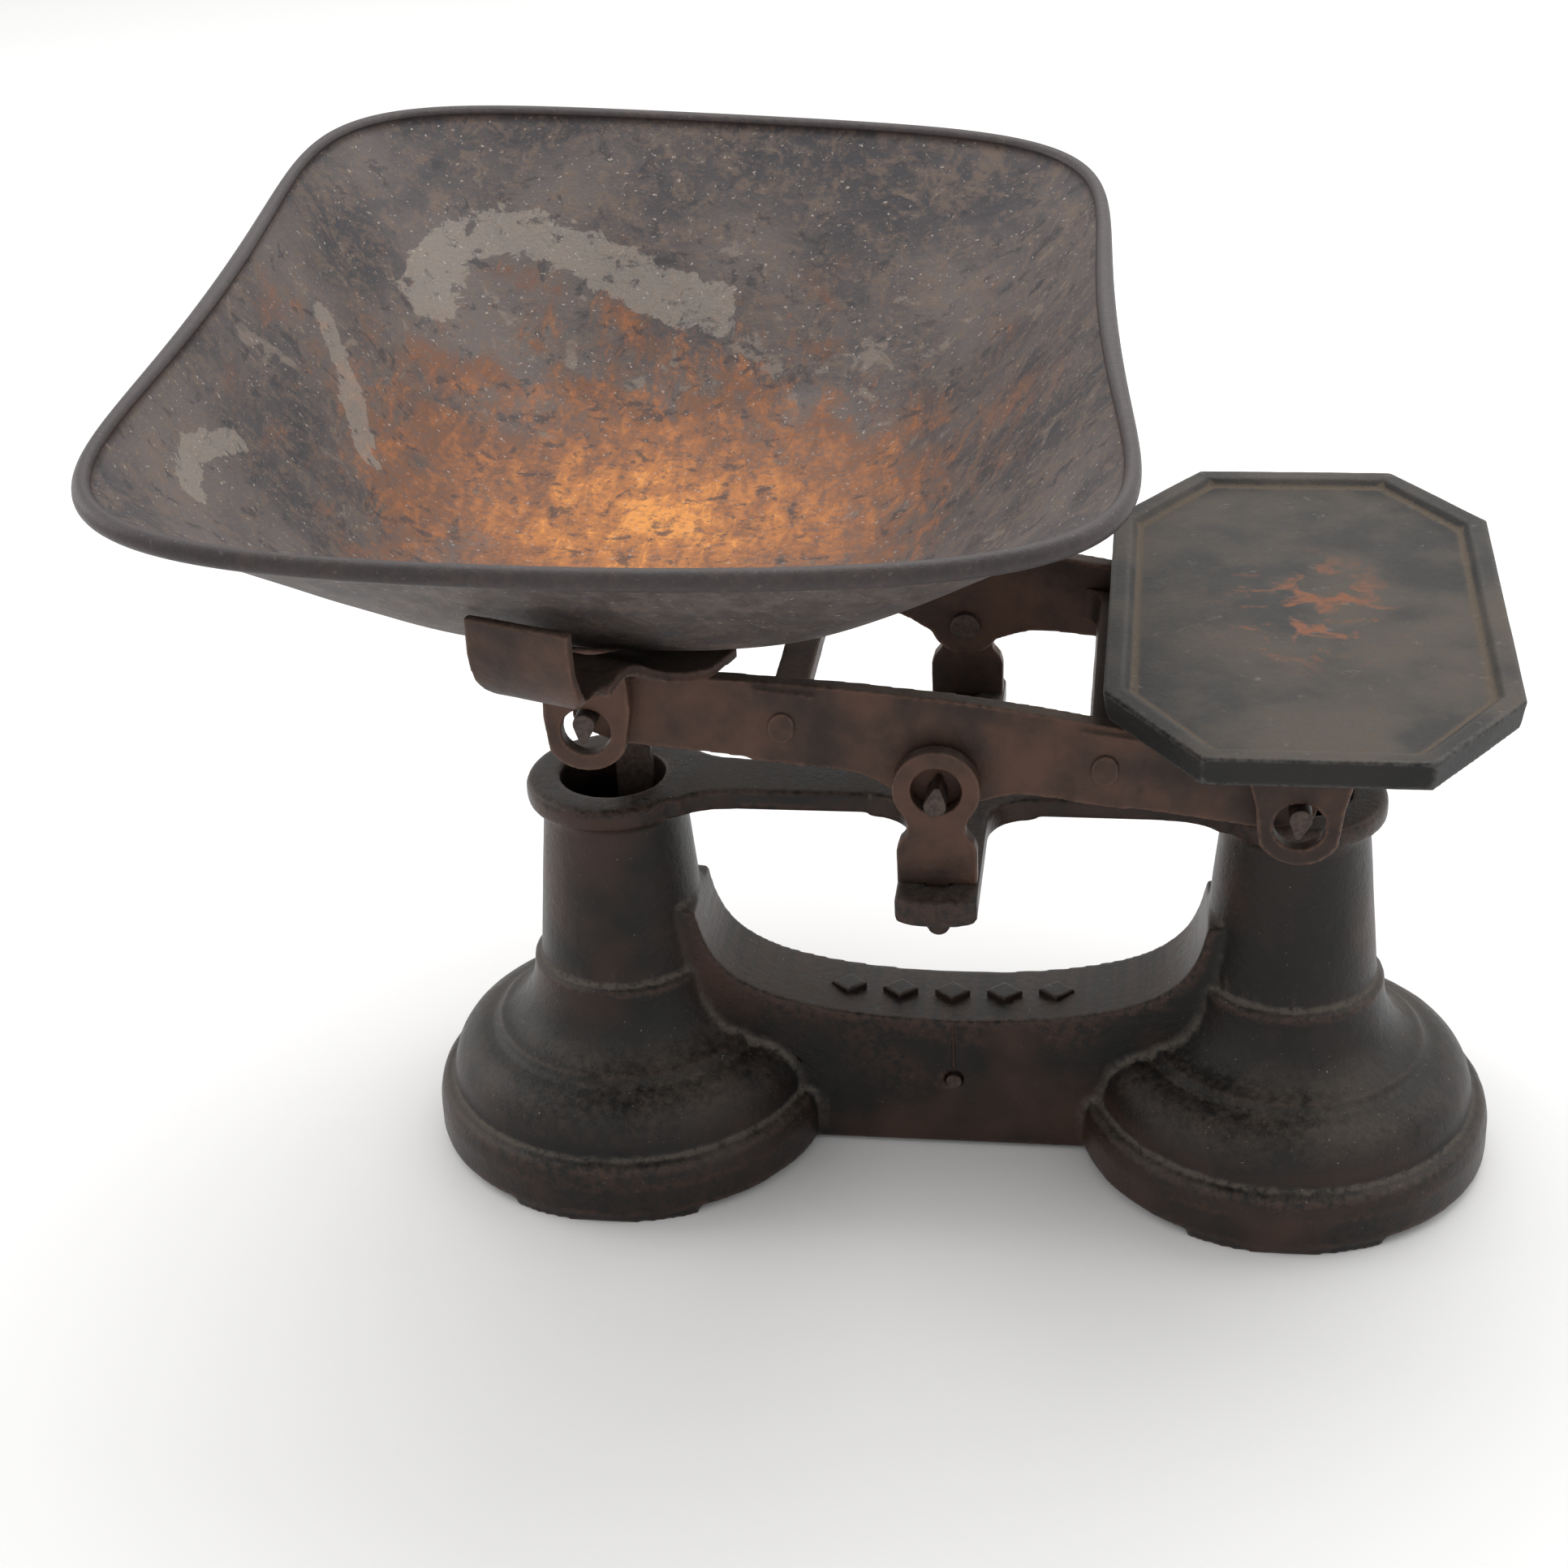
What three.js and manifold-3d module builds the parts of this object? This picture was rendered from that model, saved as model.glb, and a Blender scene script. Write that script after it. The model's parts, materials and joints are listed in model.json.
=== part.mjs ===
// Antique counter scale of the Roberval kind: a cast-iron base with two hollow pillars, a riveted
// beam on knife pins, a loose sheet-iron pan on one end and a cast weight plate on the other.
// Millimetres, +Z up. X runs along the beam (pan side negative) and -Y is the front.
// The origin is on the ground under the middle of the whole scale, pan included; the dimensions
// below count X from the middle of the base casting. The beam lies weight end down.
import * as THREE from 'three';
import { mergeVertices } from 'three/addons/utils/BufferGeometryUtils.js';
import Module from 'manifold-3d';

// ---- driving dimensions ------------------------------------------------------------------
const PILLAR_X = 95;              // half of the distance between the pillars
const BASE_X = 20.5;                 // middle of the base casting from the origin
const WALL = 4;                   // wall of the base casting
const COLLAR_TOP = 114.65;        // top of the collars, bridge and cross arm
const BORE_R = 14.9;              // hole in each collar
const FOOT_R = 58.3;
const FOOT_LIFT = 2.5;            // the rim stands this far off the ground between its pads
const PAD_HALF_ANGLE = 0.49;      // radians either side of front and back
const WEB_HALF = 13.9;            // half of the lower web's thickness
const WEB_LOW = 43.4;             // lowest point of the saddle
const BRIDGE_HALF = 9.85;
const BRIDGE_T = 6.3;
const ARM_HALF = 10.7;            // the cross arm that carries the two bearing standards
const ARM_END = 67.5;
const ARM_T = 7.4;

const TILT = THREE.MathUtils.degToRad(6.95);   // how far the weight end lies below level
const MID_X = 1.2;                // the fulcrum stands this far off the middle of the casting
const FULCRUM_Z = 140;
const ARM_LENGTH = 91.3;          // fulcrum pin to end pin, along the beam
const PIN_RISE = 7.8;             // the end pins lie this far above the fulcrum pin
const EYE_R = 11.3;
const EYE_HOLE_R = 6.5;
const EYE_OFFSET = 2;             // a pin bears this far off the middle of its eye
const EYE_OUT = 57.3;             // outer and inner face of every eye plate
const EYE_IN = 52.8;
const RAIL_OUT = 51.3;            // outer and inner face of each rail
const RAIL_IN = 46.3;
const PAD_PROUD = 1.2;            // thickened stretch of the rail where a crossbar is riveted
const CROSS_X = 41.5;
const CROSS_HALF = 4.5;
const CROSS_LOW = 7.5;
const CROSS_TOP = 16.5;
const GAP = 0.3;                  // clearance between pieces that touch

const LINK_Z = 23.4;              // height of the check link's pivot in the web
const LINK_PIN_R = 2.2;
const LEG_HALF = 5;
const LEG_T = 4;

const PLATE_HALF_X = 51.5;        // weight plate
const PLATE_HALF_Y = 89.5;
const PLATE_CUT_X = 24;
const PLATE_CUT_Y = 34;
const PLATE_TOP = 171;
const PLATE_T = 8;
const PLATE_LIP = 5;
const PLATE_RECESS = 2.2;
const YOKE_LOW = 150;             // underside of the thick middle of the yoke below the plate

const PAN_X = -73.8;              // middle of the pan's mouth as it lies on its cradle
const PAN_RIM_Z = 250.55;
const PAN_HALF_X = 124;
const PAN_HALF_Y = 140;
const PAN_DEPTH = 68.1;           // mouth to the outside of the floor
const PAN_FLOOR = 0.5;            // share of the radius where the floor turns up into the flank
const PAN_TURN_UP = 0.13;         // softness of that turn
const PAN_CORNER = 5.6;           // squareness of the rim: 2 is an ellipse
const PAN_WAIST = 8.5;            // how far the long sides draw in at their middles
const PAN_SWELL = 10.9;           // how far the ends stand out at their middles
const PAN_TAPER = -0.032;         // change of width from the middle to the back
const PAN_WARP = [0.5, -2.75];    // height of all corners, and of one diagonal against the other
const PAN_SHEET = 1;
const PAN_BEAD = 2.6;             // radius of the rolled rim
const PAN_TURN = [2.74, 2.69, 2.54].map(THREE.MathUtils.degToRad);   // about X, Y and Z

const CRADLE_Z = 177.2;           // underside of the cradle's hub plate
const CRADLE_T = 3.2;
const CLAW_T = 2.7;
const CLAW_HALF = 13.7;
const CLAW_TURN = 19;             // degrees, from square across the beam towards the pan's end
const CLAW_ROOT = -44;            // where the two straps' middle lines would meet

// ---- materials -----------------------------------------------------------------------------
function metal(color, roughness, metalness) {
  return () => new THREE.MeshStandardMaterial({ color, roughness, metalness });
}
const japanned = metal(0x2b2521, 0.55, 0.6);
const bronzed = metal(0x4a3329, 0.45, 0.8);
const greyIron = metal(0x35322f, 0.6, 0.6);
const sheetIron = metal(0x5d4a3e, 0.6, 0.5);
const pinSteel = metal(0x4c4440, 0.4, 0.9);

// ---- solids --------------------------------------------------------------------------------
const wasm = await Module();
wasm.setup();

function solid(geometry) {
  const bare = geometry.index ? geometry.toNonIndexed() : geometry.clone();
  for (const name of Object.keys(bare.attributes)) {
    if (name !== 'position') bare.deleteAttribute(name);
  }
  const merged = mergeVertices(bare, 1e-4);
  const vertProperties = new Float32Array(merged.attributes.position.array);
  const corners = Array.from(merged.index.array);
  const triVerts = [];
  for (let i = 0; i < corners.length; i += 3) {
    const [a, b, c] = corners.slice(i, i + 3);
    if (a !== b && b !== c && c !== a) triVerts.push(a, b, c);
  }
  return new wasm.Manifold(new wasm.Mesh({
    numProp: 3, vertProperties, triVerts: new Uint32Array(triVerts),
  }));
}

function geometryOf(body) {
  const mesh = body.getMesh();
  const geometry = new THREE.BufferGeometry();
  geometry.setAttribute('position', new THREE.BufferAttribute(new Float32Array(mesh.vertProperties), 3));
  geometry.setIndex(new THREE.BufferAttribute(new Uint32Array(mesh.triVerts), 1));
  geometry.computeVertexNormals();
  return geometry;
}

function union(first, ...rest) {
  return rest.reduce((sum, body) => sum.add(body), first);
}

function box(x0, x1, y0, y1, z0, z1) {
  const geometry = new THREE.BoxGeometry(x1 - x0, y1 - y0, z1 - z0);
  geometry.translate((x0 + x1) / 2, (y0 + y1) / 2, (z0 + z1) / 2);
  return solid(geometry);
}

// A profile of [radius, height] points turned about a vertical axis at x, y.
function turned(profile, x, y, segments) {
  const geometry = new THREE.LatheGeometry(profile.map(([r, z]) => new THREE.Vector2(r, z)), segments);
  geometry.rotateX(Math.PI / 2);
  geometry.translate(x, y, 0);
  return solid(geometry);
}

// An outline in the X-Z plane, as thick as the distance from y0 to y1.
function upright(shape, y0, y1, curveSegments = 8) {
  const geometry = new THREE.ExtrudeGeometry(shape, { depth: y1 - y0, bevelEnabled: false, curveSegments });
  geometry.rotateX(Math.PI / 2);
  geometry.translate(0, y1, 0);
  return solid(geometry);
}

// An outline in the X-Y plane, as thick as the distance from z0 to z1.
function flat(shape, z0, z1, curveSegments = 8) {
  const geometry = new THREE.ExtrudeGeometry(shape, { depth: z1 - z0, bevelEnabled: false, curveSegments });
  geometry.translate(0, 0, z0);
  return solid(geometry);
}

// A round bar along Y.
function bar(x, z, radius, y0, y1, segments = 20) {
  const geometry = new THREE.CylinderGeometry(radius, radius, y1 - y0, segments);
  geometry.translate(x, (y0 + y1) / 2, z);
  return solid(geometry);
}

function polygon(points) {
  return new THREE.Shape(points.map(([x, y]) => new THREE.Vector2(x, y)));
}

function mirrored(points) {
  return [...points, ...points.slice().reverse().map(([x, y]) => [-x, y])];
}

// Points on an arc about x, y, from one angle to another in degrees.
function arc(x, y, rx, ry, from, to, steps) {
  return Array.from({ length: steps + 1 }, (_, i) => {
    const angle = THREE.MathUtils.degToRad(from + (to - from) * i / steps);
    return [x + rx * Math.cos(angle), y + ry * Math.sin(angle)];
  });
}

// ---- places that follow from the tilt ------------------------------------------------------
function tilted(x, z, centreZ) {
  return [
    MID_X + x * Math.cos(TILT) + z * Math.sin(TILT),
    centreZ - x * Math.sin(TILT) + z * Math.cos(TILT),
  ];
}
const panPin = tilted(-ARM_LENGTH, PIN_RISE, FULCRUM_Z);
const weightPin = tilted(ARM_LENGTH, PIN_RISE, FULCRUM_Z);
const linkDrop = FULCRUM_Z - LINK_Z;

// ---- base casting --------------------------------------------------------------------------
// Rim band, domed first step, hollow cove, bead, tapered shaft and rounded collar.
function bellProfile() {
  return [
    [0, FOOT_LIFT], [FOOT_R, FOOT_LIFT], [FOOT_R, 14],
    ...arc(FOOT_R - 3.3, 14.8, 3.3, 3.5, 0, 90, 2),
    ...arc(40.5, 19.5, 12.8, 14.5, 8, 88, 5),
    [39.5, 35.3],
    ...arc(39.4, 56.5, 12.6, 19.7, 268, 184, 5),
    [26.4, 55.3], [26.2, 56.6], [24.4, 57.6],
    [20.3, 104.6],
    ...arc(22.3, 105.2, 2, 2.4, 190, 100, 2),
    ...arc(22.7, 109.4, 1.8, 1.8, -80, 0, 2),
    ...arc(22.5, 112.65, 2, 2, 0, 90, 2),
    [0, COLLAR_TOP],
  ];
}

function cavityProfile() {
  return [
    [0, -5], [FOOT_R - WALL, -5], [FOOT_R - WALL, 13],
    ...arc(38.5, 15.5, 13, 14.5, 0, 88, 4),
    ...arc(36.5, 54, 13.5, 20, 262, 190, 4),
    [20.4, 57], [16, 103], [BORE_R, 106], [BORE_R, COLLAR_TOP + 5], [0, COLLAR_TOP + 5],
  ];
}

function footPad(side, facing) {
  const middle = facing * 90;
  const half = THREE.MathUtils.radToDeg(PAD_HALF_ANGLE);
  const outline = [
    ...arc(side, 0, FOOT_R - 0.4, FOOT_R - 0.4, middle - half, middle + half, 10),
    ...arc(side, 0, FOOT_R - WALL, FOOT_R - WALL, middle + half, middle - half, 10),
  ];
  return flat(polygon(outline), 0, FOOT_LIFT + 1);
}

// The web's upper edge: flat in the middle and sweeping up to the pillars.
function saddle(drop) {
  const half = [[0, WEB_LOW], [25, 44.8], [45, 48.4], [57, 53], [65, 59.5], [69.5, 67.5], [72, 77]];
  const line = [...half.slice(1).reverse().map(([x, z]) => [-x, z]), ...half];
  const curve = new THREE.SplineCurve(line.map(([x, z]) => new THREE.Vector2(x, z - drop)));
  return curve.getPoints(40).map((point) => [point.x, point.y]);
}

function web(halfThickness, low, drop, reach) {
  const edge = saddle(drop).filter(([x]) => Math.abs(x) < reach);
  const height = edge[0][1];
  const outline = [[-reach, low], [reach, low], [reach, height], ...edge.reverse(), [-reach, height]];
  return upright(polygon(outline), -halfThickness, halfThickness);
}

// The bridge between the collars, spreading where it runs into them and into the cross arm.
function bridgeOutline() {
  const shape = new THREE.Shape();
  const inner = PILLAR_X - 21;
  shape.moveTo(-PILLAR_X, -17);
  shape.lineTo(-inner, -15.5);
  shape.quadraticCurveTo(-inner + 5, -BRIDGE_HALF, -inner + 17, -BRIDGE_HALF);
  shape.lineTo(inner - 17, -BRIDGE_HALF);
  shape.quadraticCurveTo(inner - 5, -BRIDGE_HALF, inner, -15.5);
  shape.lineTo(PILLAR_X, -17);
  shape.lineTo(PILLAR_X, 17);
  shape.lineTo(inner, 15.5);
  shape.quadraticCurveTo(inner - 5, BRIDGE_HALF, inner - 17, BRIDGE_HALF);
  shape.lineTo(-inner + 17, BRIDGE_HALF);
  shape.quadraticCurveTo(-inner + 5, BRIDGE_HALF, -inner, 15.5);
  shape.lineTo(-PILLAR_X, 17);
  return shape;
}

function crossArmOutline() {
  const fillet = 12;
  const quarter = [
    ...arc(0, ARM_END - 4, ARM_HALF, 4, 90, 0, 4).slice(1),
    [ARM_HALF, BRIDGE_HALF + fillet],
    ...arc(ARM_HALF + fillet, BRIDGE_HALF + fillet, fillet, fillet, 180, 270, 5),
  ];
  const right = [...quarter, ...quarter.slice().reverse().map(([x, y]) => [x, -y])];
  const ends = [[0, -ARM_END], ...right.slice().reverse().map(([x, y]) => [-x, y]), [0, ARM_END]];
  return polygon([...right, ...ends].map(([x, y]) => [x + MID_X, y]));
}

// A running ornament of lozenges and beads stands on the saddle.
function ornament() {
  const pieces = [];
  for (let i = -2; i <= 2; i += 1) {
    const x = i * 15;
    const top = WEB_LOW + 1.3 + 0.0016 * x * x;
    const lozenge = polygon([[x - 5, 0], [x, -4.4], [x + 5, 0], [x, 4.4]]);
    pieces.push(flat(lozenge, WEB_LOW - 2, top));
  }
  return union(...pieces);
}

function baseFrame() {
  let body = union(
    ...[-PILLAR_X, PILLAR_X].map((x) => turned(bellProfile(), x, 0, 44)),
    web(WEB_HALF, FOOT_LIFT - 0.7, 0, PILLAR_X - 8),
    flat(bridgeOutline(), COLLAR_TOP - BRIDGE_T, COLLAR_TOP),
    flat(crossArmOutline(), COLLAR_TOP - ARM_T, COLLAR_TOP),
    ornament(),
  );
  for (const x of [-PILLAR_X, PILLAR_X]) body = body.subtract(turned(cavityProfile(), x, 0, 24));
  body = body.subtract(web(WEB_HALF - WALL, -5, WALL, 62));
  for (const x of [-PILLAR_X, PILLAR_X]) {
    const [near, far] = [Math.min(x, x * 0.54), Math.max(x, x * 0.54)];
    body = body.subtract(box(near, far, WALL - WEB_HALF, WEB_HALF - WALL, -5, 45.5));
    for (const facing of [-1, 1]) body = body.add(footPad(x, facing));
  }
  body = body.subtract(bar(MID_X, LINK_Z, LINK_PIN_R + GAP, -20, 20));
  for (const facing of [-1, 1]) {
    const y = facing * (EYE_OUT + EYE_IN) / 2;
    body = body.subtract(box(MID_X - 3 - GAP, MID_X + 3 + GAP, y - 2 - GAP, y + 2 + GAP, 90, 130));
  }
  return body;
}

// ---- bearing standards ---------------------------------------------------------------------
// A plate on the cross arm that narrows to a neck and ends in an eye, with a riveted tenon below.
function bearing(facing) {
  const centreZ = FULCRUM_Z + EYE_OFFSET;
  const foot = COLLAR_TOP + GAP;
  const outline = mirrored([
    [10.4, foot], [10.4, 124.5], [9.6, 127], [7.6, 129.4], [7.4, 131.8],
    ...arc(0, centreZ, EYE_R, EYE_R, -42, 90, 14).slice(0, -1),
  ]).map(([x, z]) => [x + MID_X, z]);
  const y0 = facing < 0 ? -EYE_OUT : EYE_IN;
  const y1 = facing < 0 ? -EYE_IN : EYE_OUT;
  const middle = (y0 + y1) / 2;
  const plate = upright(polygon(outline), y0, y1)
    .subtract(bar(MID_X, centreZ, EYE_HOLE_R, y0 - 1, y1 + 1, 32));
  const tenon = box(MID_X - 3, MID_X + 3, middle - 2, middle + 2, 101, foot + 1);
  const headProfile = [[0, 99], [1.6, 99], [2.6, 99.8], [3.1, 101.4], [3.1, 106.9], [0, 106.9]];
  const head = turned(headProfile, MID_X, middle, 16);
  return union(plate, tenon, head);
}

// ---- beam, drawn level about the fulcrum pin -----------------------------------------------
function railOutline() {
  const right = [
    ...arc(0, 0, 10, 9.5, -90, -22, 5),
    [15.5, -0.6], [24, 1.2], [84, 0.8],
    ...arc(ARM_LENGTH, PIN_RISE, 4.6, 4.6, -75, 62, 6),
    [84, 18.4], [76, 21.4], [50, 23.4], [25, 24.8],
  ];
  return polygon([...right, [0, 25.4], ...right.slice(1).reverse().map(([x, z]) => [-x, z])]);
}

function railPad(x) {
  const slope = 3;
  const half = 9.5;
  const outline = polygon([
    [x - half, 0], [x - half + slope, -PAD_PROUD], [x + half - slope, -PAD_PROUD], [x + half, 0],
    [x + half, 1], [x - half, 1],
  ]);
  return flat(outline, 1.5, 22);
}

function rail(facing) {
  let body = upright(railOutline(), -RAIL_OUT, -RAIL_IN);
  for (const x of [-CROSS_X, CROSS_X]) {
    body = body.add(railPad(x).translate(0, -RAIL_OUT, 0));
    body = body.subtract(upright(tenonOutline(x, GAP), -RAIL_OUT - 5, -RAIL_IN + 5));
  }
  for (const [x, z] of [[0, 0], [-ARM_LENGTH, PIN_RISE], [ARM_LENGTH, PIN_RISE]]) {
    body = body.subtract(bar(x, z, 2.6 + GAP, -RAIL_OUT - 5, -RAIL_IN + 5));
  }
  return facing < 0 ? body : body.mirror([0, 1, 0]);
}

function tenonOutline(x, grow) {
  const shape = new THREE.Shape();
  shape.absellipse(x, (CROSS_LOW + CROSS_TOP) / 2, 3 + grow, 3.8 + grow, 0, Math.PI * 2);
  return shape;
}

// A square bar that spreads where it meets each rail, with oval tenons riveted through them.
function crossbar(x) {
  const reach = RAIL_IN - GAP;
  const flare = 9;
  const quarter = [
    ...arc(CROSS_HALF + 5, reach - flare, 5, flare, 180, 90, 5),
  ];
  const right = [...quarter.slice().reverse(), ...quarter.map(([u, v]) => [u, -v])];
  const outline = polygon(mirrored(right).map(([u, v]) => [u + x, v]));
  const shank = flat(outline, CROSS_LOW, CROSS_TOP);
  const tenon = upright(tenonOutline(x, 0), -RAIL_OUT - PAD_PROUD - 0.5, RAIL_OUT + PAD_PROUD + 0.5);
  return shank.add(tenon);
}

// A pear-shaped knife pin with a round shank riveted through the rail; point is -1 or +1 in Z.
function knifePin(x, z, point, facing) {
  const section = new THREE.Shape();
  const round = arc(0, -1.2 * point, 2.9, 2.9 * point, -200, 20, 10);
  section.setFromPoints([...round, [0.6, 4.4 * point], [-0.6, 4.4 * point]]
    .map(([u, v]) => new THREE.Vector2(u, v)));
  const shown = upright(section, -EYE_OUT - 2.4, -RAIL_OUT - GAP).translate(x, 0, z);
  const shank = bar(x, z, 2.6, -RAIL_OUT - 1, -RAIL_IN + 1);
  const head = bar(x, z, 4.2, -RAIL_IN + GAP, -RAIL_IN + 2);
  const body = union(shown, shank, head);
  return facing < 0 ? body : body.mirror([0, 1, 0]);
}

// ---- eyes, legs and link -------------------------------------------------------------------
function eyePlates(pin, shoulders) {
  const [x, z] = [pin[0], pin[1] - EYE_OFFSET];
  const ring = arc(0, 0, EYE_R, EYE_R, 210, 330, 12);
  const outline = polygon([...ring, ...shoulders].map(([u, v]) => [x + u, z + v]));
  const plate = upright(outline, -EYE_OUT, -EYE_IN);
  const hole = bar(x, z, EYE_HOLE_R, -EYE_OUT - 1, -EYE_IN + 1, 32);
  const front = plate.subtract(hole);
  return [front, front.mirror([0, 1, 0])];
}

// The flat leg that hangs down its pillar and takes the check link's end pin.
function leg(pin, top) {
  const [x, z] = [pin[0], pin[1] - linkDrop];
  const blade = box(x - LEG_HALF, x + LEG_HALF, -LEG_T / 2, LEG_T / 2, z, top - GAP);
  const end = bar(x, z, LEG_HALF + 1.4, -LEG_T / 2, LEG_T / 2, 24);
  const tang = box(x - 3, x + 3, -LEG_T / 2, LEG_T / 2, top - 1, top + 3);
  return union(blade, end, tang).subtract(bar(x, z, LINK_PIN_R + 0.6, -10, 10, 24));
}

function tangSlot(pin, top) {
  const x = pin[0];
  const half = LEG_T / 2 + GAP;
  return box(x - 3 - GAP, x + 3 + GAP, -half, half, top - 2, top + 9);
}

// A cranked flat bar that matches the beam, so that the legs stay upright.
function checkLink() {
  const half = 4.4;
  const eye = LEG_HALF + 1;
  const outline = polygon([
    [0, -6], [ARM_LENGTH - 3, PIN_RISE - half], ...arc(ARM_LENGTH, PIN_RISE, eye, eye, -60, 60, 6),
    [ARM_LENGTH - 3, PIN_RISE + half], [0, 6], [-ARM_LENGTH + 3, PIN_RISE + half],
    ...arc(-ARM_LENGTH, PIN_RISE, eye, eye, 120, 240, 6), [-ARM_LENGTH + 3, PIN_RISE - half],
  ]);
  let body = upright(outline, LEG_T / 2 + 0.6, LEG_T / 2 + 4.6);
  for (const [x, z] of [[0, 0], [-ARM_LENGTH, PIN_RISE], [ARM_LENGTH, PIN_RISE]]) {
    body = body.subtract(bar(x, z, LINK_PIN_R + GAP, -10, 20, 20));
  }
  return body;
}

function linkPin(x, z) {
  const shank = bar(x, z, LINK_PIN_R, -LEG_T / 2 - 2.4, LEG_T / 2 + 6.4, 16);
  const heads = [[-LEG_T / 2 - 2.4, -LEG_T / 2 - 0.6], [LEG_T / 2 + 5, LEG_T / 2 + 6.4]];
  return union(shank, ...heads.map(([y0, y1]) => bar(x, z, LINK_PIN_R + 1.4, y0, y1, 16)));
}

function pivotPin() {
  return bar(MID_X, LINK_Z, LINK_PIN_R, -WEB_HALF - 0.7, WEB_HALF + 0.7, 20);
}

// ---- pan cradle ----------------------------------------------------------------------------
// A strap that runs out under the pan's flank, dips, and turns up as a claw in front of it.
// The points are the distance along the strap and the height of its upper face.
const CLAW = [
  [24, 180.4], [62, 180.8], [72, 183], [82, 186.8], [92, 192], [101, 197.6], [106, 199.6], [110, 199.9],
  [114, 199], [118, 198], [121.5, 198], [124.8, 199.6], [127.2, 202.4], [128.8, 206.4], [129.6, 211],
  [129.8, 219],
];

function cradleClaw() {
  const under = CLAW.map(([d, z], i) => {
    const [d0, z0] = CLAW[Math.max(i - 1, 0)];
    const [d1, z1] = CLAW[Math.min(i + 1, CLAW.length - 1)];
    const length = Math.hypot(d1 - d0, z1 - z0);
    return [d + CLAW_T * (z1 - z0) / length, z - CLAW_T * (d1 - d0) / length];
  });
  return upright(polygon([...CLAW, ...under.reverse()]), -CLAW_HALF, CLAW_HALF);
}

function cradle() {
  const [x, z] = panPin;
  const hubTop = CRADLE_Z + CRADLE_T;
  const hub = polygon([
    [x - 22, -34], [x - 10, -EYE_OUT], [x + 11, -EYE_OUT], [x + 20, -45], [x + 46, -42], [x + 50, -24],
    [x + 50, 24], [x + 46, 42], [x + 20, 45], [x + 11, EYE_OUT], [x - 10, EYE_OUT], [x - 22, 34],
  ]);
  const high = CRADLE_Z - z + EYE_OFFSET + 1;
  const shoulders = [[12, 6], [11, high], [-10, high], [-11, 4]];
  const claws = [-1, 1].map((facing) => cradleClaw()
    .rotate([0, 0, facing * (90 + CLAW_TURN)]).translate(CLAW_ROOT, 0, 0));
  // each strap is relieved on its inner corner, where the lifted rail passes under it
  const relief = [-1, 1].map((facing) => box(
    x + 28.5, x + 60, facing < 0 ? -55 : 45.2, facing < 0 ? -45.2 : 55, CRADLE_Z - 5, hubTop + 5,
  ));
  return union(flat(hub, CRADLE_Z, hubTop), ...eyePlates(panPin, shoulders), ...claws)
    .subtract(union(...relief)).subtract(tangSlot(panPin, CRADLE_Z));
}

// ---- pan -------------------------------------------------------------------------------------
// A point of the sheet at radius s (0 middle, 1 rim) and angle a. The floor is flat and turns up
// into straight flanks, and the plan goes from round at the middle to a square with round corners.
function panPoint(s, a, offset) {
  const grow = s ** 1.5;
  const squareness = 2 + (PAN_CORNER - 2) * grow;
  const c = Math.cos(a);
  const d = Math.sin(a);
  const across = Math.abs(c / PAN_HALF_X) ** squareness;
  const along = Math.abs(d / PAN_HALF_Y) ** squareness;
  const reach = (across + along) ** (-1 / squareness);
  const u = reach * c / PAN_HALF_X;
  const v = reach * d / PAN_HALF_Y;
  const waist = grow * PAN_WAIST * Math.sign(u) * Math.abs(u) ** 3 * (1 - v * v);
  const x = (reach * c - waist) * (1 + PAN_TAPER * v * grow);
  const y = reach * d + grow * PAN_SWELL * Math.sign(v) * Math.abs(v) ** 3 * (1 - u * u);
  const rise = (r) => Math.hypot(r - PAN_FLOOR, PAN_TURN_UP) + r - PAN_FLOOR;
  const height = (rise(s) - rise(0)) / (rise(1) - rise(0)) - 1;
  const warp = PAN_WARP[0] * (4 * u * u * v * v - 1) + PAN_WARP[1] * u * v;
  return [s * x, s * y, PAN_DEPTH * height + grow * warp + offset];
}

function pan() {
  const around = 72;
  const rings = [0.16, 0.32, 0.42, 0.5, 0.58, 0.68, 0.8, 0.92];
  const profile = [
    ...rings.map((s) => [s, 0, 0, 0]),
    ...arc(0, 0, PAN_BEAD, PAN_BEAD, -110, 150, 7).map(([u, v]) => [1, 0, u, v]),
    ...rings.slice().reverse().map((s) => [s, PAN_SHEET, 0, 0]),
  ];
  const position = [0, 0, -PAN_DEPTH];
  for (const [s, offset, out, up] of profile) {
    for (let i = 0; i < around; i += 1) {
      const a = i / around * Math.PI * 2;
      const [x, y, z] = panPoint(s, a, offset);
      const length = Math.hypot(x, y);
      position.push(x + out * x / length, y + out * y / length, z + up);
    }
  }
  position.push(0, 0, PAN_SHEET - PAN_DEPTH);
  const index = [];
  const ring = (k, i) => 1 + k * around + i % around;
  for (let i = 0; i < around; i += 1) {
    index.push(0, ring(0, i + 1), ring(0, i));
    for (let k = 0; k + 1 < profile.length; k += 1) {
      const far = ring(k + 1, i + 1);
      index.push(ring(k, i), ring(k, i + 1), far, ring(k, i), far, ring(k + 1, i));
    }
    index.push(position.length / 3 - 1, ring(profile.length - 1, i), ring(profile.length - 1, i + 1));
  }
  const geometry = new THREE.BufferGeometry();
  geometry.setAttribute('position', new THREE.Float32BufferAttribute(position, 3));
  geometry.setIndex(index);
  geometry.computeVertexNormals();
  return geometry;
}

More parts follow.
